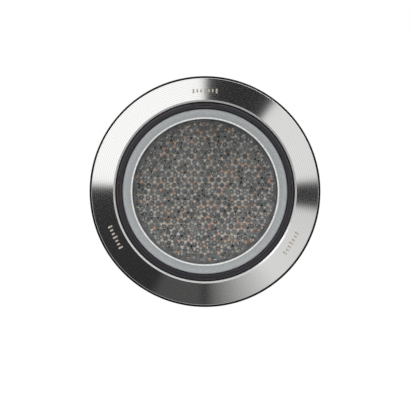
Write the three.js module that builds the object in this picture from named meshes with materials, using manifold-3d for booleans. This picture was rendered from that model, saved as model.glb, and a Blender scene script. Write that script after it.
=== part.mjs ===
// A round underwater light for a pool or spa wall, built to be taken apart.
// A sealed black housing passes through a 60 mm hole. Its flange and a gasket seat on the wet side,
// and a lock nut with a washer draws it tight from the dry side. A brushed steel face ring covers the
// flange. The lens drops in from the front and is held by a threaded retaining ring with four spanner
// slots. Behind it lie the prism plate, reflector, LEDs, heat sink and driver, closed by a rear cap
// with a cable gland.
//
// Millimetres, +Z up. The optical axis is Y: the light shines towards -Y, and the wall's wet face is
// the plane y = 0, so everything at y > 0 is inside the wall or behind it.

import * as THREE from "three";
import { mergeVertices } from "three/addons/utils/BufferGeometryUtils.js";
import Module from "manifold-3d";

const wasm = await Module();
wasm.setup();

// ---------------------------------------------------------------- driving dimensions

const FINE = 48; // sides of the large rings that show
const COARSE = 32; // sides of the round pieces inside
const SMALL = 16; // sides of glands and components
const SCREW_SIDES = 12;

const PAST = 1; // how far a cutting tool runs out beyond what it cuts
const RUNNING_GAP = 0.3; // radial gap where one round piece turns or slides in another

// Radii, from the rim inwards.
const GASKET_R = 34.6; // wall gasket, which shows as a dark line round the ring
const FACE_R = 33.8; // face ring, outside
const FACE_WALL = 0.6; // skirt of the face ring, round the flange
const FLANGE_R = FACE_R - FACE_WALL - RUNNING_GAP;
const NUT_R = FACE_R - 0.4; // lock nut and its washer
const TUBE_R = 29.6; // housing tube, a clearance fit in a 60 mm hole
const OPENING_R = 27.15; // face ring's opening at its front edge
const POCKET_R = 26.75; // pocket that takes the lens and its retaining ring
const CAVITY_R = 24.6; // dry space behind the lens
const LENS_R = 24.6; // raised front of the lens
const WINDOW_R = 21.9; // clear window inside the lens rim
const LEDGE_R = 22.6; // bore of the ledge that the lens seal sits on
const BOARD_R = 22.4; // LED board
const DRIVER_R = 20; // driver board

// Thicknesses along the axis, from the front to the back.
const PLATE = 1.6; // face ring's plate
const FLANGE = 2.1; // housing's flange
const GASKET = 1.5; // wall gasket
const RETAINER = 3.8;
const SLIP = 0.5; // slip ring under the retaining ring
const LENS_GASKET = 1;
const LENS_FLANGE = 2;
const LENS_SEAL = 1.6;
const LENS_TOP = 3; // from the lens's front rim to the inner face of its window
const LEDGE = 2.5;
const PRISM_PLATE = 2.2;
const BOARD = 1.6; // circuit boards
const PAD = 0.5; // thermal pad
const SINK_PLATE = 3.5;
const FIN = 5; // height of the heat sink's fins
const CIRCLIP = 1.2;
const STANDOFF = 7;
const CAP = 3; // rear cap's plate
const PLUG = 4.6; // rear cap's plug, inside the tube
const GLAND_WASHER = 1.2;
const GLAND_HEX = 5;
const GLAND_NECK = 8;

// How far things lie behind the face ring's front edge.
const FACE_DROP = 0.9; // the face falls back this far from its opening to its rim
const RETAINER_DEPTH = 0.5;
const LENS_DEPTH = 0.7;

// Stations on the axis, worked out from those lengths.
const FLANGE_BACK = -GASKET;
const FLANGE_FRONT = FLANGE_BACK - FLANGE;
const FACE = FLANGE_FRONT - PLATE;
const RETAINER_FRONT = FACE + RETAINER_DEPTH;
const RETAINER_BACK = RETAINER_FRONT + RETAINER;
const SLIP_BACK = RETAINER_BACK + SLIP;
const LENS_FLANGE_FRONT = SLIP_BACK + LENS_GASKET;
const LENS_FRONT = FACE + LENS_DEPTH;
const LENS_BACK = LENS_FLANGE_FRONT + LENS_FLANGE;
const LEDGE_FRONT = LENS_BACK + LENS_SEAL;
const LEDGE_BACK = LEDGE_FRONT + LEDGE;
const WINDOW_BACK = LENS_FRONT + LENS_TOP;
const PRISM_FRONT = WINDOW_BACK + 0.1;
const PRISM_BACK = PRISM_FRONT + PRISM_PLATE;
const LED_BOARD_FRONT = LEDGE_BACK + 2.7;
const LED_BOARD_BACK = LED_BOARD_FRONT + BOARD;
const SINK_FRONT = LED_BOARD_BACK + PAD;
const SINK_BACK = SINK_FRONT + SINK_PLATE;
const FIN_BACK = SINK_BACK + FIN;
const DRIVER_FRONT = SINK_BACK + STANDOFF;
const DRIVER_BACK = DRIVER_FRONT + BOARD;
const TUBE_BACK = 38;
const CAP_BACK = TUBE_BACK + CAP;
const PLUG_FRONT = TUBE_BACK - PLUG;
const GLAND_WASHER_BACK = CAP_BACK + GLAND_WASHER;
const GLAND_HEX_BACK = GLAND_WASHER_BACK + GLAND_HEX;
const GLAND_NECK_BACK = GLAND_HEX_BACK + GLAND_NECK;

// The clamp behind the wall, drawn up on a wall 8 mm thick.
const WALL = 8;
const WASHER = 1.5;
const NUT = 10;

// Places of what repeats, as a radius and a count round the axis.
const SLOTS = { count: 4, width: 8.5, depth: 1.5, floorR: 25.8 };
const CAP_SCREWS = { count: 4, radius: 27.1, first: 45 };
const BOARD_SCREWS = { count: 3, radius: 15.2, first: 80 };
const STANDOFFS = { count: 3, radius: 16, first: 20 };
const FINS = { count: 9, inner: 6, outer: 20.5, thickness: 1.2 };
const SCALLOPS = { count: 8, radius: FACE_R + 2.2, first: 22.5 };
const OUTER_LEDS = { count: 6, radius: 9.5 };
const BOARD_SCREW = { headR: 2.6, headH: 1.8, shankR: 1.2 };
const CAP_SCREW = { headR: 2.3, headH: 1.9, shankR: 1.1, length: 10 };
const WIRES = { radius: 17, angle: 60, holeR: 2, wireR: 0.6, apart: 0.9 };

// The cable gland, from the cable outwards. Hexagons are given by the radius to their corners.
const CABLE_R = 3.5;
const GLAND_BORE = CABLE_R + 0.8;
const GLAND_SEAT_R = 5.9;
const GLAND_NECK_R = 7.4;
const GLAND_THREAD_R = 7.85;
const GLAND_HOLE_R = 8.1; // in the rear cap
const GLAND_HEX_R = 12;
const GLAND_LOCK_NUT_R = 11.5;
const GLAND_NUT_R = 11;

// ---------------------------------------------------------------- materials

const finish = (color, roughness, metalness, extra = {}) =>
  new THREE.MeshStandardMaterial({ color, roughness, metalness, ...extra });

const BRUSHED_STEEL = finish(0xb9b9b6, 0.3, 1);
const STAINLESS = finish(0xa9abac, 0.35, 1);
const BLACK_POLYMER = finish(0x1d1e20, 0.6, 0);
const GLOSS_BLACK = finish(0x17171a, 0.2, 0);
const BLACK_RUBBER = finish(0x141415, 0.85, 0);
const WHITE_ACETAL = finish(0xd9d8d2, 0.5, 0);
const CLEAR_LENS = finish(0xd5dcde, 0.08, 0, { transparent: true, opacity: 0.35 });
const PRISM = finish(0x6a6b6b, 0.25, 0.2);
const SILVERED = finish(0xcfd0d0, 0.15, 1);
const WHITE_BOARD = finish(0xe6e5df, 0.45, 0);
const GREEN_BOARD = finish(0x1f5a38, 0.45, 0);
const LED_PHOSPHOR = finish(0xe8a45c, 0.35, 0);
const GREY_PAD = finish(0x8b9098, 0.8, 0);
const ALUMINIUM = finish(0xb4b6b8, 0.4, 1);
const DARK_PART = finish(0x242426, 0.5, 0);
const BLUE_SLEEVE = finish(0x1e3f73, 0.4, 0);
const GREEN_TERMINAL = finish(0x2f7a4c, 0.5, 0);
const RED_WIRE = finish(0xb32420, 0.5, 0);
const BLACK_WIRE = finish(0x1a1a1a, 0.5, 0);

// ---------------------------------------------------------------- shapes

// A solid turned on the Y axis from an outline of [radius, y] points, given in either direction.
// An outline that starts and ends on the axis stays open there; any other closes on itself.
function turned(outline, sides) {
  let area = 0;
  outline.forEach(([r, y], i) => {
    const [r2, y2] = outline[(i + 1) % outline.length];
    area += r * y2 - r2 * y;
  });
  const points = outline.map(([r, y]) => new THREE.Vector2(r, y));
  if (area < 0) points.reverse();
  const onAxis = points[0].x === 0 && points.at(-1).x === 0;
  if (!onAxis) points.push(points[0].clone());
  return new THREE.LatheGeometry(points, sides);
}

// A flat ring or, with an inner radius of 0, a disc.
const washer = (inner, outer, front, back, sides) =>
  turned([[inner, front], [outer, front], [outer, back], [inner, back]], sides);

// A round seal: a ring whose section is a hexagon with flats where it is squeezed.
function seal(middle, width, front, back, sides) {
  const centre = (front + back) / 2;
  return turned(
    [
      [middle - width / 4, front],
      [middle + width / 4, front],
      [middle + width / 2, centre],
      [middle + width / 4, back],
      [middle - width / 4, back],
      [middle - width / 2, centre],
    ],
    sides,
  );
}

// A round or, with 6 sides, a hexagonal bar along Y.
function bar(radius, front, back, sides) {
  const made = new THREE.CylinderGeometry(radius, radius, back - front, sides);
  return made.translate(0, (front + back) / 2, 0);
}

// A block between two stations, centred on x and z.
function block(width, front, back, height, x = 0, z = 0) {
  return new THREE.BoxGeometry(width, back - front, height).translate(x, (front + back) / 2, z);
}

// A screw whose head's underside is at y = seat; it points along +Y if direction is 1, else -Y.
function screw({ headR, headH, shankR, length, seat, direction }) {
  const head = seat - direction * headH;
  const tip = seat + direction * length;
  return turned(
    [
      [0, head],
      [headR * 0.75, head],
      [headR, head + direction * headH * 0.4],
      [headR, seat],
      [shankR, seat],
      [shankR, tip],
      [0, tip],
    ],
    SCREW_SIDES,
  );
}

// [x, z] at a radius and an angle in degrees, counted from +X towards +Z.
function polar(radius, degrees) {
  const a = THREE.MathUtils.degToRad(degrees);
  return [radius * Math.cos(a), radius * Math.sin(a)];
}

// The places round the axis of what repeats.
const spread = ({ count, radius, first = 0 }) =>
  Array.from({ length: count }, (_, i) => polar(radius, first + (360 / count) * i));

// ---------------------------------------------------------------- joining and cutting

function toSolid(geometry) {
  const bare = geometry.clone();
  bare.deleteAttribute("normal");
  bare.deleteAttribute("uv");
  const merged = mergeVertices(bare, 1e-4);
  return new wasm.Manifold(
    new wasm.Mesh({
      numProp: 3,
      vertProperties: merged.attributes.position.array,
      triVerts: new Uint32Array(merged.index.array),
    }),
  );
}

function toGeometry(solid) {
  const { numProp, vertProperties, triVerts } = solid.getMesh();
  const position = new Float32Array((vertProperties.length / numProp) * 3);
  for (let i = 0; i < position.length / 3; i++)
    position.set(vertProperties.subarray(i * numProp, i * numProp + 3), i * 3);
  const made = new THREE.BufferGeometry();
  made.setAttribute("position", new THREE.BufferAttribute(position, 3));
  made.setIndex(new THREE.BufferAttribute(triVerts, 1));
  made.computeVertexNormals();
  return made;
}

const join = (...shapes) => toGeometry(shapes.map(toSolid).reduce((a, b) => a.add(b)));

const cut = (shape, ...tools) =>
  toGeometry(tools.map(toSolid).reduce((a, b) => a.subtract(b), toSolid(shape)));

const holes = (places, radius, front, back, sides = SCREW_SIDES) =>
  places.map(([x, z]) => bar(radius, front, back, sides).translate(x, 0, z));

// ---------------------------------------------------------------- the assembly

const light = new THREE.Group();

function add(name, geometry, material, [x, z] = [0, 0]) {
  const mesh = new THREE.Mesh(geometry, material);
  mesh.name = name;
  mesh.position.set(x, 0, z);
  light.add(mesh);
}

// Trim and wall seal: a shallow steel cap over the flange, slightly coned, with a bevelled opening.
function addFace() {
  const bevel = 0.2;
  const plateBore = POCKET_R - 0.05;
  const plateEdge = FACE + 0.6;
  const skirtR = FACE_R - FACE_WALL;
  const skirtBack = FLANGE_BACK - 0.2;
  const faceRing = turned(
    [
      [OPENING_R, FACE + bevel],
      [OPENING_R + bevel, FACE],
      [FACE_R, FACE + FACE_DROP],
      [FACE_R, skirtBack],
      [skirtR, skirtBack],
      [skirtR, FLANGE_FRONT],
      [plateBore, FLANGE_FRONT],
      [plateBore, plateEdge],
    ],
    FINE,
  );
  add("face_ring", faceRing, BRUSHED_STEEL);
  const gasket = washer(TUBE_R + RUNNING_GAP, GASKET_R, FLANGE_BACK, 0, FINE);
  add("wall_gasket", gasket, BLACK_RUBBER);
}

// One moulding: flange, lens pocket, ledge, threaded tube, circlip groove and screw pilots.
function addHousing() {
  const grooveR = CAVITY_R + 1.4;
  const grooveBack = SINK_BACK + CIRCLIP + 0.2;
  const pilotR = 1.35;
  const pilotDepth = 9;
  const shell = turned(
    [
      [POCKET_R, FLANGE_FRONT],
      [FLANGE_R, FLANGE_FRONT],
      [FLANGE_R, FLANGE_BACK],
      [TUBE_R, FLANGE_BACK],
      [TUBE_R, TUBE_BACK],
      [CAVITY_R, TUBE_BACK],
      [CAVITY_R, grooveBack],
      [grooveR, grooveBack],
      [grooveR, SINK_BACK],
      [CAVITY_R, SINK_BACK],
      [CAVITY_R, LEDGE_BACK],
      [LEDGE_R, LEDGE_BACK],
      [LEDGE_R, LEDGE_FRONT],
      [POCKET_R, LEDGE_FRONT],
    ],
    FINE,
  );
  const pilots = holes(spread(CAP_SCREWS), pilotR, TUBE_BACK - pilotDepth, TUBE_BACK + PAST);
  add("housing", cut(shell, ...pilots), BLACK_POLYMER);
}

// The lock nut and its washer, which clamp the wall against the flange's gasket.
function addWallClamp() {
  const bore = TUBE_R + 0.35;
  const front = WALL + WASHER;
  const back = front + NUT;
  const chamfer = 0.8;
  const scallopR = 4;
  const blank = turned(
    [
      [bore, front],
      [NUT_R, front],
      [NUT_R, back - chamfer],
      [NUT_R - chamfer, back],
      [bore + chamfer, back],
      [bore, back - chamfer],
    ],
    FINE,
  );
  const scallops = holes(spread(SCALLOPS), scallopR, front - PAST, back + PAST, SMALL);
  add("wall_washer", washer(bore, NUT_R, WALL, front, FINE), WHITE_ACETAL);
  add("lock_nut", cut(blank, ...scallops), BLACK_POLYMER);
}

// The lens is a cap: a window, a domed rim that shows as a pale ring, and a flange to clamp it by.
function addLens() {
  const outer = POCKET_R - 0.45;
  const chamfer = 0.4;
  const rim = [ // radius, and how far it lies behind the lens's front
    [WINDOW_R - 0.2, 0.7],
    [WINDOW_R + 0.2, 0.5],
    [WINDOW_R + 1, 0.25],
    [WINDOW_R + 1.7, 0.05],
    [WINDOW_R + 2.2, 0],
  ];
  const lens = turned(
    [
      [0, LENS_FRONT + rim[0][1]],
      ...rim.map(([r, drop]) => [r, LENS_FRONT + drop]),
      [LENS_R, LENS_FRONT + chamfer],
      [LENS_R, LENS_FLANGE_FRONT],
      [outer, LENS_FLANGE_FRONT],
      [outer, LENS_BACK],
      [WINDOW_R, LENS_BACK],
      [WINDOW_R, WINDOW_BACK],
      [0, WINDOW_BACK],
    ],
    FINE,
  );
  const sealMiddle = 25.5;
  const sealWidth = 1.8;
  add("lens", lens, CLEAR_LENS);
  add("lens_o_ring", seal(sealMiddle, sealWidth, LENS_BACK, LEDGE_FRONT, FINE), BLACK_RUBBER);
  const gasket = washer(LENS_R + RUNNING_GAP, POCKET_R - 0.25, SLIP_BACK, LENS_FLANGE_FRONT, FINE);
  add("lens_gasket", gasket, BLACK_RUBBER);
}

// The threaded ring that holds the lens, and the slip ring that keeps it from dragging the gasket.
function addLensRetainer() {
  const bore = LENS_R + 0.25;
  const outer = POCKET_R - RUNNING_GAP;
  const blank = turned(
    [
      [bore, RETAINER_FRONT],
      [outer - 0.2, RETAINER_FRONT],
      [outer, RETAINER_FRONT + 0.2],
      [outer, RETAINER_BACK],
      [bore, RETAINER_BACK],
    ],
    FINE,
  );
  const slotFront = RETAINER_FRONT - PAST;
  const slotBack = RETAINER_FRONT + SLOTS.depth;
  const slotHeight = 2;
  const slotMiddle = SLOTS.floorR + slotHeight / 2;
  const slots = Array.from({ length: SLOTS.count }, (_, i) =>
    block(SLOTS.width, slotFront, slotBack, slotHeight, 0, slotMiddle)
      .rotateY((i * 2 * Math.PI) / SLOTS.count),
  );
  add("retaining_ring", cut(blank, ...slots), GLOSS_BLACK);
  const slipRing = washer(bore + 0.05, outer - 0.15, RETAINER_BACK, SLIP_BACK, FINE);
  add("slip_ring", slipRing, WHITE_ACETAL);
}

// A disc with holes through it.
function drilledDisc(radius, front, back, cuts) {
  return cut(turned([[0, front], [radius, front], [radius, back], [0, back]], COARSE), ...cuts);
}

// Prism plate, reflector, LED board and its LEDs.
function addOptics() {
  const prismR = WINDOW_R - 0.3;
  const prism = turned(
    [[0, PRISM_FRONT], [prismR, PRISM_FRONT], [prismR, PRISM_BACK], [0, PRISM_BACK]], FINE,
  );
  add("prism_plate", prism, PRISM);

  const mirror = 0.9; // thickness of the reflector
  const mirrorFront = prismR - 0.1;
  const mirrorBack = mirrorFront - 1;
  const reflector = turned(
    [
      [mirrorFront - mirror, PRISM_BACK],
      [mirrorFront, PRISM_BACK],
      [mirrorBack, LED_BOARD_FRONT],
      [mirrorBack - mirror, LED_BOARD_FRONT],
    ],
    COARSE,
  );
  add("reflector", reflector, SILVERED);

  const wireHole = polar(WIRES.radius, WIRES.angle);
  const screwHoleR = 1.7;
  const cuts = [
    ...holes(spread(BOARD_SCREWS), screwHoleR, LED_BOARD_FRONT - PAST, SINK_FRONT + PAST),
    ...holes([wireHole], WIRES.holeR, LED_BOARD_FRONT - PAST, SINK_FRONT + PAST),
  ];
  const padR = BOARD_R - 0.4;
  add("led_board", drilledDisc(BOARD_R, LED_BOARD_FRONT, LED_BOARD_BACK, cuts), WHITE_BOARD);
  add("thermal_pad", drilledDisc(padR, LED_BOARD_BACK, SINK_FRONT, cuts), GREY_PAD);

  [[0, 0], ...spread(OUTER_LEDS)].forEach((place, i) =>
    add(`led_${i + 1}`, ledPackage(), LED_PHOSPHOR, place),
  );
  spread(BOARD_SCREWS).forEach((place, i) => {
    const made = screw({ ...BOARD_SCREW, length: 5.1, seat: LED_BOARD_FRONT, direction: 1 });
    add(`board_screw_${i + 1}`, made, STAINLESS, place);
  });
}

// A square base with a round dome, both on the front of the LED board.
function ledPackage() {
  const width = 3.5;
  const domeR = 1.5;
  const steps = 3;
  const baseFront = LED_BOARD_FRONT - 0.8;
  const sunk = baseFront + 0.4; // the dome's own base, inside the square one
  const dome = [[0, sunk], [domeR, sunk], [domeR, baseFront]];
  for (let i = 1; i < steps; i++) {
    const a = (i / steps) * (Math.PI / 2);
    dome.push([domeR * Math.cos(a), baseFront - domeR * Math.sin(a)]);
  }
  dome.push([0, baseFront - domeR]);
  return join(block(width, baseFront, LED_BOARD_FRONT, width), turned(dome, SCREW_SIDES));
}

// The heat sink is a dish with fins on its back. A circlip in the housing's groove holds it.
function addHeatSink() {
  const outer = CAVITY_R - RUNNING_GAP;
  const rimInner = LEDGE_R + 0.2;
  const dish = turned(
    [
      [0, SINK_FRONT],
      [rimInner, SINK_FRONT],
      [rimInner, LEDGE_BACK],
      [outer, LEDGE_BACK],
      [outer, SINK_BACK],
      [0, SINK_BACK],
    ],
    COARSE,
  );
  const length = FINS.outer - FINS.inner;
  const finRoot = SINK_BACK - 0.5;
  const fins = Array.from({ length: FINS.count }, (_, i) =>
    block(length, finRoot, FIN_BACK, FINS.thickness, FINS.inner + length / 2)
      .rotateY((-i * 2 * Math.PI) / FINS.count),
  );
  const pilotR = 1.5;
  const sink = cut(
    join(dish, ...fins),
    ...holes(spread(BOARD_SCREWS), pilotR, SINK_FRONT - PAST, SINK_BACK - 0.2),
    ...holes(spread(STANDOFFS), pilotR, SINK_FRONT + 1, SINK_BACK + PAST),
    ...holes([polar(WIRES.radius, WIRES.angle)], WIRES.holeR, SINK_FRONT - PAST, SINK_BACK + PAST),
  );
  add("heat_sink", sink, ALUMINIUM);
  add("circlip", circlip(), STAINLESS);
}

// A flat open ring, with its gap towards +X.
function circlip() {
  const halfGap = THREE.MathUtils.degToRad(15);
  const clip = new THREE.Shape();
  clip.absarc(0, 0, CAVITY_R + 1.1, halfGap, 2 * Math.PI - halfGap, false);
  clip.absarc(0, 0, CAVITY_R - 1.7, 2 * Math.PI - halfGap, halfGap, true);
  clip.closePath();
  const made = new THREE.ExtrudeGeometry(clip, {
    depth: CIRCLIP, bevelEnabled: false, curveSegments: COARSE,
  });
  return made.rotateX(-Math.PI / 2).translate(0, SINK_BACK, 0);
}

// The driver board stands behind the heat sink on three pillars.
function addDriver() {
  const boreR = 1.6;
  const pillarR = 2.6;
  spread(STANDOFFS).forEach((place, i) => {
    const pillar = washer(boreR, pillarR, SINK_BACK, DRIVER_FRONT, SCREW_SIDES);
    const made = screw({ ...BOARD_SCREW, length: 10.5, seat: DRIVER_BACK, direction: -1 });
    add(`standoff_${i + 1}`, pillar, WHITE_ACETAL, place);
    add(`driver_screw_${i + 1}`, made, STAINLESS, place);
  });
  const cuts = holes(spread(STANDOFFS), boreR, DRIVER_FRONT - PAST, DRIVER_BACK + PAST);
  add("driver_board", drilledDisc(DRIVER_R, DRIVER_FRONT, DRIVER_BACK, cuts), GREEN_BOARD);
  addComponents();
}

// What stands on the back of the driver board. Round parts are given by radius and height, square
// ones by width, height above the board, and depth.
function addComponents() {
  const round = (name, radius, height, material, place) =>
    add(name, bar(radius, DRIVER_BACK, DRIVER_BACK + height, SMALL), material, place);
  const square = (name, width, height, depth, material, place) =>
    add(name, block(width, DRIVER_BACK, DRIVER_BACK + height, depth), material, place);
  round("inductor", 4.2, 5.5, DARK_PART, [7.5, 8.5]);
  round("capacitor", 4, 8, BLUE_SLEEVE, [-8.5, 1]);
  square("bridge_rectifier", 6.5, 2.6, 5, DARK_PART, [10.5, -5.5]);
  square("driver_chip", 5, 1.6, 4, DARK_PART, [-1.5, 9.5]);

  const terminal = { width: 10, height: 8, depth: 7, way: 3.4, floor: 2, pitch: 5 };
  const back = DRIVER_BACK + terminal.height;
  const ways = [-terminal.pitch / 2, terminal.pitch / 2].map((x) =>
    block(terminal.way, DRIVER_BACK + terminal.floor, back + PAST, terminal.way, x),
  );
  const body = block(terminal.width, DRIVER_BACK, back, terminal.depth);
  add("terminal_block", cut(body, ...ways), GREEN_TERMINAL, [1, -7]);
}

// Two leads run from the driver through the heat sink to pads beside the LEDs.
function addLeads() {
  const [ux, uz] = polar(1, WIRES.angle);
  const bend = LED_BOARD_FRONT - 1.6; // where a lead turns over the front of the LED board
  const end = 0.3; // gap between a lead's end and its board
  const lead = (aside) => {
    const at = (radius, y) =>
      new THREE.Vector3(ux * radius - uz * aside, y, uz * radius + ux * aside);
    const path = new THREE.CatmullRomCurve3([
      at(WIRES.radius, DRIVER_FRONT - end),
      at(WIRES.radius, SINK_BACK),
      at(WIRES.radius, LED_BOARD_FRONT),
      at(WIRES.radius - 0.9, bend),
      at(WIRES.radius - 2.6, bend),
      at(WIRES.radius - 3.2, LED_BOARD_FRONT - end),
    ]);
    const section = new THREE.Shape();
    section.absarc(0, 0, WIRES.wireR, 0, 2 * Math.PI, false);
    return new THREE.ExtrudeGeometry(section, { steps: 18, extrudePath: path, curveSegments: 4 });
  };
  add("wire_red", lead(WIRES.apart), RED_WIRE);
  add("wire_black", lead(-WIRES.apart), BLACK_WIRE);
}

// The rear cap plugs the tube on a radial O-ring and is held by four screws into the tube's wall.
function addRearCap() {
  const plugR = CAVITY_R - RUNNING_GAP;
  const plugInner = 21;
  const grooveFloor = plugR - 1.3;
  const grooveFront = PLUG_FRONT + 1.2;
  const grooveBack = grooveFront + 2;
  const outer = TUBE_R - 0.2;
  const chamfer = 0.6;
  const cap = turned(
    [
      [GLAND_HOLE_R, TUBE_BACK],
      [plugInner, TUBE_BACK],
      [plugInner, PLUG_FRONT],
      [plugR, PLUG_FRONT],
      [plugR, grooveFront],
      [grooveFloor, grooveFront],
      [grooveFloor, grooveBack],
      [plugR, grooveBack],
      [plugR, TUBE_BACK],
      [outer, TUBE_BACK],
      [outer, CAP_BACK - chamfer],
      [outer - chamfer, CAP_BACK],
      [GLAND_HOLE_R, CAP_BACK],
    ],
    FINE,
  );
  const screwHoles = holes(spread(CAP_SCREWS), 1.5, TUBE_BACK - PAST, CAP_BACK + PAST);
  add("rear_cap", cut(cap, ...screwHoles), BLACK_POLYMER);

  const squeeze = 0.15;
  const ring = seal(23.78, 1.4, grooveFront + squeeze, grooveBack - squeeze, COARSE);
  add("rear_o_ring", ring, BLACK_RUBBER);
  spread(CAP_SCREWS).forEach((place, i) => {
    const made = screw({ ...CAP_SCREW, seat: CAP_BACK, direction: -1 });
    add(`cap_screw_${i + 1}`, made, STAINLESS, place);
  });
}

// A cable gland for a round cable: washer, body, inner lock nut, seal, clamp ring and dome nut.
function addGland() {
  const seatFront = GLAND_HEX_BACK + 2.8;
  const sealBack = GLAND_NECK_BACK + 0.8;
  const clampBack = sealBack + 1.6;
  add("gland_washer", washer(8, 11, CAP_BACK, GLAND_WASHER_BACK, SMALL), BLACK_RUBBER);
  add("gland_body", glandBody(seatFront), BLACK_POLYMER);

  const innerNut = cut(
    bar(GLAND_LOCK_NUT_R, TUBE_BACK - 3.2, TUBE_BACK, 6),
    bar(GLAND_THREAD_R + RUNNING_GAP, TUBE_BACK - 5, TUBE_BACK + PAST, SMALL),
  );
  add("gland_lock_nut", innerNut, BLACK_POLYMER);

  const rubber = washer(CABLE_R + 0.1, GLAND_SEAT_R - RUNNING_GAP, seatFront, sealBack, SMALL);
  const clamp = washer(CABLE_R + 0.4, 6.9, sealBack, clampBack, SMALL);
  add("gland_seal", rubber, BLACK_RUBBER);
  add("gland_clamp_ring", clamp, WHITE_ACETAL);
  add("gland_nut", glandNut(clampBack), BLACK_POLYMER);
}

// The body: a thread through the cap, a hexagon outside it, and a neck for the nut to run on.
function glandBody(seatFront) {
  const neckFront = GLAND_WASHER_BACK + 0.5;
  const spindle = turned(
    [
      [GLAND_BORE, PLUG_FRONT + 0.1],
      [GLAND_THREAD_R, PLUG_FRONT + 0.1],
      [GLAND_THREAD_R, neckFront],
      [GLAND_NECK_R, neckFront],
      [GLAND_NECK_R, GLAND_NECK_BACK],
      [GLAND_SEAT_R, GLAND_NECK_BACK],
      [GLAND_SEAT_R, seatFront],
      [GLAND_BORE, seatFront],
    ],
    SMALL,
  );
  const hexBore = GLAND_THREAD_R - 1.5; // less than the spindle, so that the two join
  const hexagon = cut(
    bar(GLAND_HEX_R, GLAND_WASHER_BACK, GLAND_HEX_BACK, 6),
    bar(hexBore, GLAND_WASHER_BACK - PAST, GLAND_HEX_BACK + PAST, SMALL),
  );
  return join(spindle, hexagon);
}

// The dome nut: a hexagon with a domed end, bored for the neck and, at its mouth, for the cable.
function glandNut(clampBack) {
  const front = GLAND_HEX_BACK + 0.6;
  const hexBack = front + 8;
  const back = clampBack + 3;
  const boreR = GLAND_NECK_R + 0.35;
  const mouthR = CABLE_R + 0.6;
  const bore = turned(
    [
      [0, front - PAST],
      [boreR, front - PAST],
      [boreR, clampBack],
      [mouthR, clampBack],
      [mouthR, back + PAST],
      [0, back + PAST],
    ],
    SMALL,
  );
  const dome = turned(
    [[0, front], [9.6, front], [9.6, hexBack], [9.2, hexBack + 2], [6.8, back], [0, back]],
    SMALL,
  );
  return cut(join(bar(GLAND_NUT_R, front, hexBack, 6), dome), bore);
}

addFace();
addHousing();
addWallClamp();
addLens();
addLensRetainer();
addOptics();
addHeatSink();
addDriver();
addLeads();
addRearCap();
addGland();

export default light;
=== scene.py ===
"""Looks for a round underwater pool light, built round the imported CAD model.

Outlines are in millimetres, as [distance from the optical axis, place along it], and are turned into
metres when a mesh is made. The axis is Y: the light shines towards -Y and the wall's wet face is y = 0.
Radii and stations come from the CAD nodes' boxes, so each piece stays inside the solid it stands for.
"""

import math
import random

import bmesh
import bpy
from mathutils import Matrix, Vector


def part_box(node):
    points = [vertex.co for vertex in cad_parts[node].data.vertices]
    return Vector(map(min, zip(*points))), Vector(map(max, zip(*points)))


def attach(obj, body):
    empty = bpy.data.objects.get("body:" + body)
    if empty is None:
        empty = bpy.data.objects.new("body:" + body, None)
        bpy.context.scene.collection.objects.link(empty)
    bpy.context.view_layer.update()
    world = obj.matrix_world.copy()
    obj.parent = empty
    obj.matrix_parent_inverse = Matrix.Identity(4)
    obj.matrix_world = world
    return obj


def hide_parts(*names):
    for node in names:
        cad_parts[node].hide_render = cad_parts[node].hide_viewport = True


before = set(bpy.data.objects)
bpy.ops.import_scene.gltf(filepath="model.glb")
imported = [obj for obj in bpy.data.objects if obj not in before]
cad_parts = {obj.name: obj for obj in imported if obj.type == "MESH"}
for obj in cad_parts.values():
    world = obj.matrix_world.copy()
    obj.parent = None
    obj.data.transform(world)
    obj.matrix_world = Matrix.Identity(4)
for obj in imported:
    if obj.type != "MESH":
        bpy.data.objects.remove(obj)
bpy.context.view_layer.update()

# ---------------------------------------------------------------- driving values

MM = 0.001
TAU = 2 * math.pi
FINE = 192  # sides of the rings that the camera sees from the front
MEDIUM = 96
SMALL = 48
ARC_STEPS = 5  # segments in a rounded corner
SMOOTH_BELOW = math.radians(32)
SKIN = 0.02  # how far a detailed piece stays inside its CAD solid, where they share a face

LIGHT = "light"

# The view: straight on, with the light a little above the middle of the frame.
CAMERA_DISTANCE = 0.6
VIEW_WIDTH = 0.1219
VIEW_DROP = 0.0040
SENSOR = 36.0

FLOOR_Z = -0.2
FLOOR_RADIUS = 1.1  # small enough to stay below the front view
SMOOTH = "SMOOTHSTEP"


# ---------------------------------------------------------------- places read from the CAD nodes

def span(node):
    """A node's front and back along the axis, in millimetres."""
    low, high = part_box(node)
    return low.y / MM, high.y / MM


def reach(node):
    """A round node's outer radius, in millimetres."""
    low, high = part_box(node)
    return (high.x - low.x) / 2 / MM


def centre(node):
    """The middle of a node's box, seen along the axis: x and z in millimetres."""
    low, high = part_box(node)
    return (low.x + high.x) / 2 / MM, (low.z + high.z) / 2 / MM


# ---------------------------------------------------------------- mesh making

def fillet(outline):
    """Rounds the corners of an outline whose points are (r, y) or (r, y, corner radius)."""
    made = []
    count = len(outline)
    for i, point in enumerate(outline):
        here = Vector(point[:2])
        radius = point[2] if len(point) > 2 else 0.0
        before = Vector(outline[i - 1][:2]) - here
        after = Vector(outline[(i + 1) % count][:2]) - here
        if radius <= 0:
            made.append((here.x, here.y))
            continue
        half = before.angle(after) / 2
        back = min(radius / math.tan(half), before.length * 0.49, after.length * 0.49)
        start = here + before.normalized() * back
        end = here + after.normalized() * back
        for k in range(ARC_STEPS + 1):
            t = k / ARC_STEPS
            p = start * (1 - t) ** 2 + here * 2 * t * (1 - t) + end * t**2
            made.append((p.x, p.y))
    return made


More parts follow.
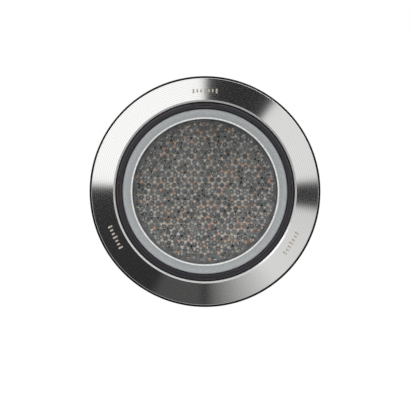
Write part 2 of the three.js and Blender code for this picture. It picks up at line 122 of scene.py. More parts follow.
def finish_mesh(name, mesh_data, materials, smooth_below=SMOOTH_BELOW):
    """Welds, faces outwards, scales to metres and links a bmesh as a new object."""
    bmesh.ops.remove_doubles(mesh_data, verts=mesh_data.verts, dist=1e-5)
    bmesh.ops.recalc_face_normals(mesh_data, faces=mesh_data.faces)
    bmesh.ops.scale(mesh_data, vec=(MM, MM, MM), verts=mesh_data.verts)
    mesh = bpy.data.meshes.new(name)
    mesh_data.to_mesh(mesh)
    mesh_data.free()
    for material in materials:
        mesh.materials.append(material)
    for polygon in mesh.polygons:
        polygon.use_smooth = True
    mesh.set_sharp_from_angle(angle=smooth_below)
    piece = bpy.data.objects.new(name, mesh)
    bpy.context.scene.collection.objects.link(piece)
    return piece


def flatten_wide_faces(piece):
    """Keeps the wide faces' own normals, so that only the roundings between them shade smoothly."""
    step = piece.modifiers.new("weighted_normals", "WEIGHTED_NORMAL")
    step.keep_sharp = True
    step.weight = 60


def turn_into(target, outline_at, sides, material_at=None):
    """Adds a body swept round the axis. outline_at gives the closed outline at an angle."""
    rings = []
    for i in range(sides):
        angle = TAU * i / sides
        ring = []
        for r, y in outline_at(angle):
            ring.append(target.verts.new((r * math.cos(angle), y, r * math.sin(angle))))
        rings.append(ring)
    size = len(rings[0])
    for i in range(sides):
        here, ahead = rings[i], rings[(i + 1) % sides]
        for k in range(size):
            corners = [here[k], here[(k + 1) % size], ahead[(k + 1) % size], ahead[k]]
            face = target.faces.new(corners)
            if material_at:
                middle = sum((v.co for v in corners), Vector()) / 4
                face.material_index = material_at(math.hypot(middle.x, middle.z), middle.y)


def close_axis(target):
    """Collapses the points that lie on the axis and removes the faces that this leaves flat."""
    on_axis = [v for v in target.verts if math.hypot(v.co.x, v.co.z) < 1e-4]
    bmesh.ops.remove_doubles(target, verts=on_axis, dist=1e-3)
    bmesh.ops.dissolve_degenerate(target, dist=1e-6, edges=target.edges)


def turned(name, outline, materials, sides=MEDIUM, material_at=None):
    """A solid of revolution from an outline with optional corner radii."""
    points = fillet(outline)
    made = bmesh.new()
    turn_into(made, lambda angle: points, sides, material_at)
    if any(r == 0 for r, _ in points):
        close_axis(made)
    return finish_mesh(name, made, materials)


def swept(name, outline_at, materials, sides=MEDIUM, smooth_below=SMOOTH_BELOW):
    """A body whose closed outline changes with the angle round the axis."""
    made = bmesh.new()
    turn_into(made, outline_at, sides)
    if any(r == 0 for r, _ in outline_at(0.0)):
        close_axis(made)
    return finish_mesh(name, made, materials, smooth_below)


def add_spun(target, shape, angle):
    """Turns a small shape about the axis, adds it to the target and frees it."""
    bmesh.ops.transform(shape, matrix=Matrix.Rotation(angle, 4, "Y"), verts=shape.verts)
    part = bpy.data.meshes.new("part")
    shape.to_mesh(part)
    shape.free()
    target.from_mesh(part)
    bpy.data.meshes.remove(part)


def place(piece, x, z):
    """Moves a piece made on the axis to its place beside it, in millimetres."""
    piece.data.transform(Matrix.Translation((x * MM, 0, z * MM)))
    return piece


def stand_for(piece, body, slot, *nodes):
    """Hangs a piece on its body in place of CAD nodes."""
    if not piece.data.has_custom_normals:
        flatten_wide_faces(piece)
    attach(piece, body)
    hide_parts(*nodes)
    return piece


def make_flat_ring(node, shape, body, slot, material, bore, corners, sides=MEDIUM):
    """A flat ring. corners are its roundings: front inside, front outside, back outside, back inside."""
    front, back = span(node)
    outer = reach(node)
    places = ((bore, front), (outer, front), (outer, back), (bore, back))
    outline = [(r, y, corner) for (r, y), corner in zip(places, corners)]
    ring = turned(f"{node}_{shape}", outline, [material], sides)
    stand_for(ring, body, slot, node)


def rounded_box(target, low, high, radius):
    """Adds a block with rounded edges, given by two corners in millimetres."""
    made = bmesh.ops.create_cube(target, size=1.0)["verts"]
    for v in made:
        v.co = Vector(high[i] if v.co[i] > 0 else low[i] for i in range(3))
    # A dict keeps its order from run to run, which a set of edges doesn't.
    edges = dict.fromkeys(e for v in made for e in v.link_edges)
    bmesh.ops.bevel(
        target, geom=list(edges), offset=radius, segments=3, affect="EDGES", profile=0.5
    )


def cut_away(piece, cutter):
    """Subtracts the cutter's mesh from the piece and deletes the cutter."""
    step = piece.modifiers.new("cut", "BOOLEAN")
    step.operation = "DIFFERENCE"
    step.solver = "EXACT"
    step.object = cutter
    step.material_mode = "TRANSFER"
    bpy.context.view_layer.update()
    graph = bpy.context.evaluated_depsgraph_get()
    result = bpy.data.meshes.new_from_object(piece.evaluated_get(graph))
    piece.modifiers.clear()
    piece.data = result
    bpy.data.objects.remove(cutter)
    return piece


# ---------------------------------------------------------------- material making

class Nodes:
    """A node tree under construction, with short calls for what its nodes do."""

    def __init__(self, tree):
        self.tree = tree

    def node(self, kind, **settings):
        made = self.tree.nodes.new("ShaderNode" + kind)
        for key, value in settings.items():
            setattr(made, key, value)
        return made

    def join(self, source, target):
        self.tree.links.new(source, target)

    def value(self, operation, a, b=0.0, c=0.0):
        """A Math node; a, b and c are numbers or sockets."""
        made = self.node("Math", operation=operation)
        for socket, given in zip(made.inputs, (a, b, c)):
            if isinstance(given, (int, float)):
                socket.default_value = given
            else:
                self.join(given, socket)
        return made.outputs[0]

    def ramp(self, factor, stops):
        """A colour ramp from (place, (r, g, b)) stops."""
        made = self.node("ValToRGB")
        line = made.color_ramp
        while len(line.elements) < len(stops):
            line.elements.new(0.5)
        for element, (at, color) in zip(line.elements, stops):
            element.position = at
            element.color = (*color, 1)
        self.join(factor, made.inputs["Fac"])
        return made.outputs["Color"]

    def scaled(self, factor, low, high, from_low=0.0, from_high=1.0, kind="LINEAR"):
        made = self.node("MapRange", interpolation_type=kind)
        limits = {"From Min": from_low, "From Max": from_high, "To Min": low, "To Max": high}
        for socket, value in limits.items():
            made.inputs[socket].default_value = value
        self.join(factor, made.inputs["Value"])
        return made.outputs["Result"]


class Finish(Nodes):
    """A Principled material under construction."""

    def __init__(self, name, color, roughness, **sockets):
        self.material = bpy.data.materials.new(name)
        self.material.use_nodes = True
        self.material.diffuse_color = (*color, 1)
        super().__init__(self.material.node_tree)
        self.shader = self.tree.nodes["Principled BSDF"]
        self.shader.inputs["Base Color"].default_value = (*color, 1)
        self.shader.inputs["Roughness"].default_value = roughness
        for socket, value in sockets.items():
            self.shader.inputs[socket.replace("_", " ")].default_value = value
        self.object_place = self.node("TexCoord").outputs["Object"]

    def noise(self, scale, detail=3.0, stretch=None):
        source = self.object_place
        if stretch:
            made = self.node("VectorMath", operation="MULTIPLY")
            self.join(source, made.inputs[0])
            made.inputs[1].default_value = stretch
            source = made.outputs[0]
        texture = self.node("TexNoise")
        texture.inputs["Scale"].default_value = scale
        texture.inputs["Detail"].default_value = detail
        self.join(source, texture.inputs["Vector"])
        return texture.outputs["Fac"]

    def lines(self, along, scale, detail=2.0):
        """Noise that varies only with one number, which gives lines."""
        texture = self.node("TexNoise", noise_dimensions="1D")
        texture.inputs["Scale"].default_value = scale
        texture.inputs["Detail"].default_value = detail
        self.join(along, texture.inputs["W"])
        return texture.outputs["Fac"]

    def axis_distance(self):
        flat = self.node("VectorMath", operation="MULTIPLY")
        flat.inputs[1].default_value = (1, 0, 1)
        self.join(self.object_place, flat.inputs[0])
        length = self.node("VectorMath", operation="LENGTH")
        self.join(flat.outputs[0], length.inputs[0])
        return length.outputs["Value"]

    def coordinate(self, letter):
        parts = self.node("SeparateXYZ")
        self.join(self.object_place, parts.inputs[0])
        return parts.outputs[letter]

    def multiply_colors(self, a, b):
        made = self.node("Mix", data_type="RGBA", blend_type="MULTIPLY")
        made.inputs["Factor"].default_value = 1.0
        self.join(a, made.inputs[6])
        self.join(b, made.inputs[7])
        return made.outputs[2]

    def color_from(self, socket):
        self.join(socket, self.shader.inputs["Base Color"])

    def roughness_from(self, factor, low, high):
        self.join(self.scaled(factor, low, high), self.shader.inputs["Roughness"])

    def bump_from(self, height, distance):
        made = self.node("Bump")
        made.inputs["Distance"].default_value = distance
        made.inputs["Strength"].default_value = 1.0
        self.join(height, made.inputs["Height"])
        self.join(made.outputs["Normal"], self.shader.inputs["Normal"])


def grey(level):
    return (level, level, level)


def shade(color, factor):
    return tuple(c * factor for c in color)


def moulded(name, color, roughness, grain=900.0, depth=0.00002, specular=0.5):
    """A moulded plastic or rubber with a fine eroded texture and faint tone changes."""
    look = Finish(name, color, roughness, Specular_IOR_Level=specular)
    grains = look.noise(grain, 4.0)
    patches = look.noise(60.0, 2.0)
    look.color_from(look.ramp(patches, [(0.3, shade(color, 0.82)), (0.7, shade(color, 1.2))]))
    look.roughness_from(look.noise(180.0, 3.0), roughness - 0.08, roughness + 0.1)
    look.bump_from(grains, depth)
    return look.material


def grained(look, grains, stops, depth):
    """Gives a finish a colour and fine bumps that follow the same grains."""
    look.color_from(look.ramp(grains, stops))
    look.bump_from(grains, depth)
    return look.material


def etched_steel():
    """The matt floor of an etched mark."""
    look = Finish("etched_steel", (0.5, 0.46, 0.4), 0.7)
    stops = [(0.35, (0.36, 0.33, 0.28)), (0.65, (0.62, 0.57, 0.5))]
    return grained(look, look.noise(9000.0, 3.0), stops, 0.00001)


def plain_steel():
    """Bright stainless fasteners, with a slight turned grain."""
    look = Finish("stainless", (0.56, 0.57, 0.57), 0.28, Metallic=1.0)
    grains = look.noise(4000.0, 2.0, stretch=(1, 6, 1))
    look.roughness_from(grains, 0.2, 0.38)
    return grained(look, grains, [(0.3, (0.45, 0.46, 0.46)), (0.7, (0.62, 0.63, 0.63))], 0.000004)


def slot_floor_painted_reflection():
    """The milled floors of the spanner slots: duller, and lighter with a faint warm tone that is a painted
    reflection of the pinkish light in the slots.
    """
    # partly real, partly painted: a duller milled floor, and a lighter warm colour that is a painted
    # reflection
    look = Finish("slot_floor_painted_reflection", (0.075, 0.058, 0.062), 0.5)
    grains = look.noise(5000.0, 2.0, stretch=(1, 1, 4))
    return grained(look, grains, [(0.3, (0.055, 0.042, 0.047)), (0.7, (0.10, 0.078, 0.082))], 0.000004)


def painted_highlight_edge():
    """The cut edge of the window: a thin pale line that gives off a little light of its own, a painted
    highlight along the step.
    """
    # painted highlight: the pale colour and the faint glow stand for the light that the edge catches
    look = Finish("lens_bright_edge", (0.9, 0.91, 0.9), 0.25, Emission_Strength=0.04)
    look.shader.inputs["Emission Color"].default_value = (1, 1, 1, 1)
    stops = [(0.3, (0.6, 0.61, 0.61)), (0.7, (0.84, 0.85, 0.84))]
    return grained(look, look.noise(1500.0, 2.0), stops, 0.000005)


TURNING_PITCH = 0.56  # between the lathe's feed marks on the steel face


def brushed_steel():
    """Lathe-turned stainless: fine concentric lines that fan each reflection out from the axis."""
    look = Finish("brushed_steel", (0.66, 0.66, 0.65), 0.16, Metallic=1.0, Anisotropic=0.95,
                  Anisotropic_Rotation=0.25)
    distance = look.axis_distance()
    fine = look.lines(distance, 9000.0, 3.0)
    groove = look.value("SINE", look.value("MULTIPLY", distance, TAU / (TURNING_PITCH * MM)))
    both = look.value("MULTIPLY_ADD", groove, 0.09, look.value("MULTIPLY_ADD", fine, 0.5, 0.25))
    stops = [(0.3, (0.56, 0.56, 0.55)), (0.5, (0.67, 0.67, 0.66)), (0.7, (0.77, 0.77, 0.76))]
    look.color_from(look.ramp(both, stops))
    look.roughness_from(both, 0.09, 0.15)
    look.bump_from(both, 0.000001)
    tangent = look.node("Tangent", direction_type="RADIAL", axis="Y")
    look.join(tangent.outputs["Tangent"], look.shader.inputs["Tangent"])
    return look.material


def cast_aluminium():
    look = Finish("blasted_aluminium", (0.55, 0.56, 0.57), 0.42, Metallic=1.0)
    grains = look.noise(2500.0, 4.0)
    look.color_from(look.ramp(grains, [(0.35, (0.46, 0.47, 0.48)), (0.65, (0.60, 0.61, 0.62))]))
    look.roughness_from(look.noise(300.0), 0.36, 0.52)
    look.bump_from(grains, 0.00002)
    return look.material


def polished_black():
    """The black ring round the lens: hard, polished, with faint turning lines."""
    color = (0.020, 0.018, 0.023)
    look = Finish("polished_black", color, 0.1)
    lines = look.lines(look.axis_distance(), 4000.0, 2.0)
    look.color_from(look.ramp(lines, [(0.3, shade(color, 0.8)), (0.7, shade(color, 1.5))]))
    look.roughness_from(lines, 0.12, 0.28)
    look.bump_from(lines, 0.000001)
    return look.material


def let_light_through(look, tint):
    """Lets lamps shine straight through a clear window, so that what lies behind it is lit."""
    clear = look.node("BsdfTransparent")
    clear.inputs["Color"].default_value = (*tint, 1)
    path = look.node("LightPath")
    either = look.node("MixShader")
    look.join(path.outputs["Is Shadow Ray"], either.inputs[0])
    look.join(look.shader.outputs[0], either.inputs[1])
    look.join(clear.outputs[0], either.inputs[2])
    look.join(either.outputs[0], look.tree.nodes["Material Output"].inputs["Surface"])


def window_glass():
    """The lens's clear window."""
    look = Finish("lens_window", (0.97, 0.98, 0.98), 0.02, IOR=1.5)
    look.shader.inputs["Transmission Weight"].default_value = 1.0
    let_light_through(look, (0.97, 0.98, 0.98))
    return look.material


def frosted_rim():
    """The lens's rim: grey and fine-grained, with painted shade that darkens it towards the window step and
    towards its outer edge.
    """
    look = Finish("lens_frosted_rim", (0.42, 0.44, 0.45), 0.38, Coat_Weight=0.25, Coat_Roughness=0.25)
    grains = look.noise(4200.0, 2.0)
    tones = [(0.3, (0.30, 0.32, 0.33)), (0.52, (0.38, 0.40, 0.41)), (0.75, (0.49, 0.51, 0.52))]
    speckle = look.ramp(grains, tones)
    # painted shade: the rim's colour is made darker near its inner and outer edges
    radial = look.scaled(look.axis_distance(), 0.0, 1.0, 0.0219, 0.0246)
    painted_edge_shade = look.ramp(radial, [(0.0, grey(0.78)), (0.25, grey(0.88)), (0.7, grey(1.0)), (1.0, grey(0.9))])
    look.color_from(look.multiply_colors(speckle, painted_edge_shade))
    look.roughness_from(grains, 0.3, 0.5)
    look.bump_from(grains, 0.00001)
    return look.material


BLACK = moulded("black_polymer", (0.011, 0.011, 0.012), 0.40, 1200.0, 0.00002)
RUBBER = moulded("black_rubber", (0.010, 0.010, 0.010), 0.72, 1400.0, 0.00001)
WALL_RUBBER = moulded("wall_gasket_rubber", (0.005, 0.005, 0.005), 0.75, 1400.0, 0.00001, 0.2)
ACETAL = moulded("white_acetal", (0.66, 0.65, 0.60), 0.42, 500.0, 0.00001)
STEEL = brushed_steel()
ETCHED = etched_steel()
STAINLESS = plain_steel()
ALUMINIUM = cast_aluminium()
POLISHED_BLACK = polished_black()
SLOT_FLOOR_PAINTED_REFLECTION = slot_floor_painted_reflection()
WINDOW = window_glass()
FROSTED = frosted_rim()
PAINTED_HIGHLIGHT_EDGE = painted_highlight_edge()


# ---------------------------------------------------------------- face ring

MARKS = (90, -31, -153)  # where the etched marks stand on the ring, in degrees from +X towards +Z
MARK_RADIUS = 30.0
MARK_BARS = (0.8, 0.5, 0.5, 0.8, 0.5, 0.5, 0.8)  # half heights of a mark's bars
MARK_PITCH = 1.15
MARK_DEPTH = 0.1
FACE_DROP = 0.9  # how far the face falls back from its opening to its rim
OPENING_GAP = 0.7  # from the retaining ring to the face's opening
OPENING_BEVEL = 0.14
BAR_HALF_WIDTH = 0.27


def smooth_cone(piece, slope):
    """Gives a coned front face its exact normals, so that cut marks don't disturb its reflections."""
    mesh = piece.data
    normals = [Vector(normal.vector) for normal in mesh.corner_normals]
    for polygon in mesh.polygons:
        for corner in polygon.loop_indices:
            place = mesh.vertices[mesh.loops[corner].vertex_index].co
            outwards = Vector((place.x, 0, place.z)).normalized()
            exact = outwards * math.sin(slope) - Vector((0, math.cos(slope), 0))
            if polygon.normal.dot(exact) > 0.9995:
                normals[corner] = exact
    mesh.normals_split_custom_set(normals)


def make_face_ring():
    """A coned steel face with a skirt behind its rim, and three etched marks."""
    front, back = span("face_ring")
    outer = reach("face_ring")
    opening = reach("retaining_ring") + OPENING_GAP
    flange_front = span("housing")[0]
    bore = opening - 0.45
    rim = outer - 0.6
    ring = turned("face_ring_brushed", [
        (opening, front + OPENING_BEVEL, 0.05),
        (opening + OPENING_BEVEL, front, 0.05),
        (outer, front + FACE_DROP, 0.15),
        (outer, back, 0.1),
        (rim, back),
        (rim, flange_front),
        (bore, flange_front),
        (bore, front + 0.6),
    ], [STEEL, ETCHED], FINE)
    middle_drop = FACE_DROP * (MARK_RADIUS - opening) / (outer - opening)
    bars = bmesh.new()
    for degrees in MARKS:
        for i, tall in enumerate(MARK_BARS):
            aside = (i - (len(MARK_BARS) - 1) / 2) * MARK_PITCH
            only = bmesh.new()
            floor = front + middle_drop + MARK_DEPTH
            rounded_box(only, (aside - BAR_HALF_WIDTH, front - 1, MARK_RADIUS - tall),
                        (aside + BAR_HALF_WIDTH, floor, MARK_RADIUS + tall), 0.08)
            add_spun(bars, only, math.radians(90 - degrees))
    cut_away(ring, finish_mesh("mark_cutter", bars, [ETCHED]))
    smooth_cone(ring, math.atan2(FACE_DROP, outer - opening - OPENING_BEVEL))
    stand_for(ring, LIGHT, "brushed_steel", "face_ring")


make_face_ring()


# ---------------------------------------------------------------- housing

THREAD_PITCH = 2.0
THREAD_DEPTH = 0.75
THREAD_STEPS = 8  # points along one pitch
FLANGE_THICK = 2.1
LEDGE_WIDTH = 4.15  # inwards from the pocket that takes the lens
LEDGE_THICK = 2.5
CAVITY_RADIUS = 24.6
GROOVE_DEPTH = 1.4  # of the circlip's groove


def thread_height(y, angle, start, end, pitch, hand=1):
    """0 at a thread's root and 1 at its crest, faded out at both ends."""
    turn = (y / pitch - hand * angle / TAU) % 1.0
    tooth = min(max(1.6 - abs(turn - 0.5) * 5.2, 0.0), 1.0)
    fade = min(max((y - start) / pitch, 0.0), 1.0) * min(max((end - y) / pitch, 0.0), 1.0)
    return tooth * fade


def stations(start, end, pitch):
    """Places along a thread, close enough to draw its teeth."""
    count = max(2, round((end - start) / pitch * THREAD_STEPS))
    return [start + (end - start) * i / count for i in range(count + 1)]


def make_housing():
    """The flange, the pocket for the lens, the ledge, and a tube with a helical thread outside."""
    flange_front, back = span("housing")
    flange_back = flange_front + FLANGE_THICK
    flange = reach("housing")
    tube = reach("rear_cap") + 0.2
    pocket = reach("retaining_ring") + 0.3
    ledge_front = span("lens_o_ring")[1]
    ledge_back = ledge_front + LEDGE_THICK
    ledge = pocket - LEDGE_WIDTH
    groove = CAVITY_RADIUS + GROOVE_DEPTH
    groove_front = span("circlip")[0]
    groove_back = span("circlip")[1] + 0.2
    thread_start, thread_end = 0.4, back - 0.8
    marks = stations(thread_start, thread_end, THREAD_PITCH)

    def outline(angle):
        thread = []
        for y in marks:
            tall = thread_height(y, angle, thread_start, thread_end, THREAD_PITCH)
            thread.append((tube - THREAD_DEPTH * (1 - tall), y))
        return [
            (pocket, flange_front),
            (flange - 0.2, flange_front),
            (flange, flange_front + 0.2),
            (flange, flange_back),
            (tube, flange_back),
            (tube, thread_start - 0.3),
            *thread,
            (tube - THREAD_DEPTH, back - 0.3),
            (tube - THREAD_DEPTH - 0.3, back),
            (CAVITY_RADIUS, back),
            (CAVITY_RADIUS, groove_back),
            (groove, groove_back),
            (groove, groove_front),
            (CAVITY_RADIUS, groove_front),
            (CAVITY_RADIUS, ledge_back),
            (ledge, ledge_back),
            (ledge, ledge_front),
            (pocket, ledge_front),
        ]

    shell = swept("housing_shell", outline, [BLACK])
    stand_for(shell, LIGHT, "black_polymer", "housing")


make_housing()


# ---------------------------------------------------------------- wall clamp

GASKET_BORE = 29.9
CLAMP_BORE = 29.95  # of the washer and the lock nut


def make_wall_gasket():
    """A flat rubber ring with two shallow grooves in the face that meets the wall."""
    front, back = span("wall_gasket")
    outer = reach("wall_gasket")
    lip = turned("wall_gasket_lipped", [
        (GASKET_BORE, front, 0.1),
        (outer - 0.15, front, 0.3),
        (outer, (front + back) / 2, 0.6),
        (outer - 0.15, back, 0.3),
        (outer - 0.9, back),
        (outer - 1.2, back - 0.35, 0.1),
        (outer - 1.5, back),
        (outer - 2.3, back),
        (outer - 2.6, back - 0.35, 0.1),
        (outer - 2.9, back),
        (GASKET_BORE, back, 0.1),
    ], [WALL_RUBBER], FINE)
    stand_for(lip, LIGHT, "black_rubber", "wall_gasket")


def make_wall_washer():
    make_flat_ring("wall_washer", "ring", "wall_clamp", "white_acetal", ACETAL, CLAMP_BORE,
                   (0.15, 0.25, 0.25, 0.15), FINE)


LOBES = 8
LOBE_SHARE = 0.62  # of the way from a lobe's middle to a scallop's, before the scallop begins
SCALLOP_DEPTH = 1.75
NUT_GRIPS = 144
GRIP_DEPTH = 0.35
STEPS_PER_GRIP = 8


def make_lock_nut():
    """A round nut with eight finger scallops, fine grip ribs between them and a plain bore."""
    front, back = span("lock_nut")
    outer = reach("lock_nut")
    mouth = CLAMP_BORE + 0.7
    marks = stations(front + 0.9, back - 0.9, THREAD_PITCH)

    def outer_at(angle):
        from_lobe = abs((angle * LOBES / TAU) % 1.0 - 0.5) * 2  # 1 at a scallop's middle
        scallop = max(0.0, (from_lobe - LOBE_SHARE) / (1 - LOBE_SHARE))
        rib = 0.5 + 0.5 * math.cos(angle * NUT_GRIPS)
        depth = SCALLOP_DEPTH * math.sin(scallop * math.pi / 2) ** 1.5
        return outer - depth - GRIP_DEPTH * rib * (1 - min(1.0, scallop * 4))

    def outline(angle):
        edge = outer_at(angle)
        return [
            (mouth, front),
            (edge - 0.4, front),
            (edge, front + 0.4),
            (edge, back - 0.9),
            (edge - 0.3, back - 0.35),
            (edge - 0.9, back),
            (mouth, back),
            *[(CLAMP_BORE + SKIN, y) for y in reversed(marks)],
        ]

    nut = swept("lock_nut_ribbed", outline, [BLACK], NUT_GRIPS * STEPS_PER_GRIP)
    stand_for(nut, "nut", "black_polymer", "lock_nut")


make_wall_gasket()
make_wall_washer()
make_lock_nut()


# ---------------------------------------------------------------- lens and what holds it

SLOTS = 4
SLOT_WIDTH = 8.5
SLOT_DEPTH = 0.6
SLOT_INSIDE = 25.8  # how close a slot's straight inner wall comes to the axis
SEAL_BORE = 24.95  # of the slip ring and the lens gasket


def make_retaining_ring():
    front, back = span("retaining_ring")
    outer = reach("retaining_ring")
    inner = 24.85
    ring = turned("retaining_ring_polished", [
        (inner, front + 0.15),
        (inner + 0.15, front, 0.1),
        (outer - 0.55, front, 0.1),
        (outer, front + 0.25, 0.1),
        (outer, back, 0.1),
        (inner, back, 0.1),
    ], [POLISHED_BLACK, SLOT_FLOOR_PAINTED_REFLECTION], FINE)
    slots = bmesh.new()
    for i in range(SLOTS):
        only = bmesh.new()
        rounded_box(only, (-SLOT_WIDTH / 2, front - 1, SLOT_INSIDE),
                    (SLOT_WIDTH / 2, front + SLOT_DEPTH, SLOT_INSIDE + 2), 0.12)
        add_spun(slots, only, TAU * i / SLOTS)
    cut_away(ring, finish_mesh("slot_cutter", slots, [SLOT_FLOOR_PAINTED_REFLECTION]))
    stand_for(ring, "retainer", "gloss_black", "retaining_ring")


def make_lens_seals():
    make_flat_ring("slip_ring", "thin", "retainer_carrier", "white_acetal", ACETAL, SEAL_BORE,
                   (0.08, 0.08, 0.08, 0.08))
    make_flat_ring("lens_gasket", "flat", LIGHT, "black_rubber", RUBBER, SEAL_BORE, (0.15, 0.2, 0.2, 0.15))
    make_o_ring("lens_o_ring", 25.5, 0.8)
    make_o_ring("rear_o_ring", 23.78, 0.66)


def make_o_ring(node, middle, radius):
    """A round-section seal, slightly flattened where it is squeezed."""
    front, back = span(node)
    half = (back - front) / 2
    steps = 20
    outline = []
    for i in range(steps):
        a = TAU * i / steps
        y = max(-half, min(half, radius * math.sin(a)))
        outline.append((middle + radius * math.cos(a), (front + back) / 2 + y))
    ring = turned(node + "_round", outline, [RUBBER])
    stand_for(ring, LIGHT, "black_rubber", node)


WINDOW_RADIUS = 21.68
WINDOW_DROP = 0.7  # how far the window lies below the rim
EDGE_RADIUS = 22.15  # outside of the bright cut edge
RIM_INSIDE = 22.9  # where the rim's inward slope ends


def make_lens():
    """A window set a little below its rim, with a cut edge between the two that carries a painted
    highlight.
    """
    front, back = span("lens")
    outer = reach("lens")
    flange_front = back - 2.0
    window_front = front + WINDOW_DROP + 0.05
    window_back = front + 3.0

    def material_at(r, y):
        if r < WINDOW_RADIUS and y < window_back + 0.01:
            return 0
        if r < EDGE_RADIUS and y < window_back:
            return 2
        return 1

    lens = turned("lens_clear", [
        (0, window_front),
        (WINDOW_RADIUS, window_front),
        (WINDOW_RADIUS + 0.08, window_front - 0.02),
        (EDGE_RADIUS, window_front - 0.2),
        (RIM_INSIDE, front + 0.28, 0.4),
        (23.6, front + 0.08, 0.4),
        (24.3, front, 0.3),
        (24.6, front + 0.35, 0.2),
        (24.6, flange_front),
        (outer, flange_front, 0.15),
        (outer, back, 0.15),
        (21.92, back),
        (21.92, window_back),
        (0, window_back),
    ], [WINDOW, FROSTED, PAINTED_HIGHLIGHT_EDGE], FINE, material_at)
    stand_for(lens, LIGHT, "clear_lens", "lens")


make_retaining_ring()
make_lens_seals()
make_lens()


# ---------------------------------------------------------------- lenslet plate

LENSLET_PITCH = 2.0
LENSLET_SIDES = 12
TRIANGLE = 0.70  # from a facet's middle to its corners
WARP = 0.26  # how far lenslets stray from an even array
EDGE_CHIPS = 150
CHIP_SHARE = 0.55  # of the places between lenslets that show a small chip of light
PLATE_SEED = 7


def lenslet_plate_materials():
    """Smoked plate, dark lens rings, light lens middles, thin outlines, and four colours of facet, each
    with painted shade that darkens it towards the top.
    """
    looks = []

    def facet(name, low, high, roughness):
        look = Finish(name, low, roughness, Specular_IOR_Level=0.25)
        tones = look.noise(700.0, 1.0)
        # painted shade: every colour of the plate is darkened towards its top, where less light falls
        painted_top_shade_factor = look.scaled(look.coordinate("Z"), 1.0, 0.72, -0.014, 0.014)
        tint = look.ramp(painted_top_shade_factor, [(0.6, grey(0.6)), (1.0, grey(1.0))])  # darker towards the top
        look.color_from(look.multiply_colors(look.ramp(tones, [(0.35, low), (0.65, high)]), tint))
        look.bump_from(look.noise(5000.0, 2.0), 0.000006)
        looks.append(look.material)

    facet("plate_smoked", (0.21, 0.213, 0.215), (0.32, 0.323, 0.325), 0.6)
    facet("plate_lens_ring", (0.11, 0.112, 0.115), (0.22, 0.222, 0.225), 0.5)
    facet("plate_lens_middle", (0.34, 0.34, 0.33), (0.70, 0.70, 0.68), 0.3)
    facet("plate_outline", (0.50, 0.465, 0.42), (0.86, 0.79, 0.70), 0.5)
    facet("plate_cream", (0.78, 0.67, 0.57), (0.98, 0.90, 0.80), 0.4)
    facet("plate_orange", (0.88, 0.46, 0.28), (1.0, 0.66, 0.44), 0.4)
    facet("plate_dark", (0.025, 0.025, 0.027), (0.06, 0.06, 0.062), 0.4)
    facet("plate_pale", (0.62, 0.65, 0.67), (0.92, 0.95, 0.97), 0.3)
    return looks


SMOKED, LENS_RING, LENS_MIDDLE, OUTLINE, CREAM, ORANGE, DARK, PALE = range(8)


def lattice(radius):
    """Middles of a hexagonal array of lenslets, with level rows, inside a radius."""
    rise = LENSLET_PITCH * math.sqrt(3) / 2
    rows = int(radius / rise) + 1
    for row in range(-rows, rows + 1):
        shift = LENSLET_PITCH / 2 if row % 2 else 0.0
        for column in range(-rows, rows + 1):
            x = column * LENSLET_PITCH + shift
            if math.hypot(x, row * rise) < radius:
                yield x, row * rise


def disc_rings(target, x, z, rings, sides, phase=0.0):
    """A stack of rings about a place: each is (radius, y, material of the band outside it)."""
    loops = []
    for radius, y, _ in rings:
        if radius == 0:
            loops.append([target.verts.new((x, y, z))])
            continue
        loops.append([
            target.verts.new((x + radius * math.cos(phase + TAU * k / sides), y,
                              z + radius * math.sin(phase + TAU * k / sides)))
            for k in range(sides)
        ])
    for (inner, outer), (_, _, material) in zip(zip(loops, loops[1:]), rings):
        for k in range(sides):
            if len(inner) == 1:
                corners = [inner[0], outer[(k + 1) % sides], outer[k]]
            else:
                corners = [inner[k], inner[(k + 1) % sides], outer[(k + 1) % sides], outer[k]]
            face = target.faces.new(corners)
            face.material_index = material
    return loops[-1]


def closed_relief(target, x, z, rings, sides, depth, phase=0.0):
    """A small raised body whose top is a stack of rings and whose base sinks into the plate."""
    edge = disc_rings(target, x, z, rings, sides, phase)
    base = [target.verts.new((v.co.x, depth, v.co.z)) for v in edge]
    for k in range(len(edge)):
        ahead = (k + 1) % len(edge)
        target.faces.new([edge[k], edge[ahead], base[ahead], base[k]]).material_index = rings[-2][2]
    target.faces.new(base).material_index = SMOKED


def facet_chances(distance):
    """How often a gap between lenslets shows colour: least in the middle and near the rim."""
    ripple = 0.5 + 0.5 * math.cos(distance * 1.05 + 2.4)
    near_rim = min(1.0, max(0.0, (22.0 - distance) / 2.5))
    near_middle = min(1.0, distance / 3.5)
    return (0.34 + 0.26 * ripple) * (0.4 + 0.6 * near_rim) * (0.35 + 0.65 * near_middle)


def strayed(x, z):
    """Shifts a place on the plate by a slow wave, as the dome of each lens draws its neighbours."""
    return (x + WARP * math.sin(0.55 * z + 0.9) * math.cos(0.31 * x),
            z + WARP * math.sin(0.47 * x - 0.4) * math.cos(0.38 * z))


def add_lenslet(target, chance, x, z, surface):
    middle = LENS_MIDDLE if chance.random() < 0.45 else LENS_RING
    dark = LENS_RING if chance.random() < 0.6 else SMOKED
    edge = OUTLINE if chance.random() < 0.75 else SMOKED
    size = 0.92 + 0.16 * chance.random()
    rings = [
        (0.0, surface - 0.30, middle),
        (size * (0.16 + 0.08 * chance.random()), surface - 0.29, SMOKED),
        (size * 0.32, surface - 0.26, dark),
        (size * 0.58, surface - 0.17, SMOKED),
        (size * 0.78, surface - 0.08, edge),
        (size * 0.85, surface - 0.01, edge),
    ]
    closed_relief(target, x, z, rings, LENSLET_SIDES, surface + 0.3)


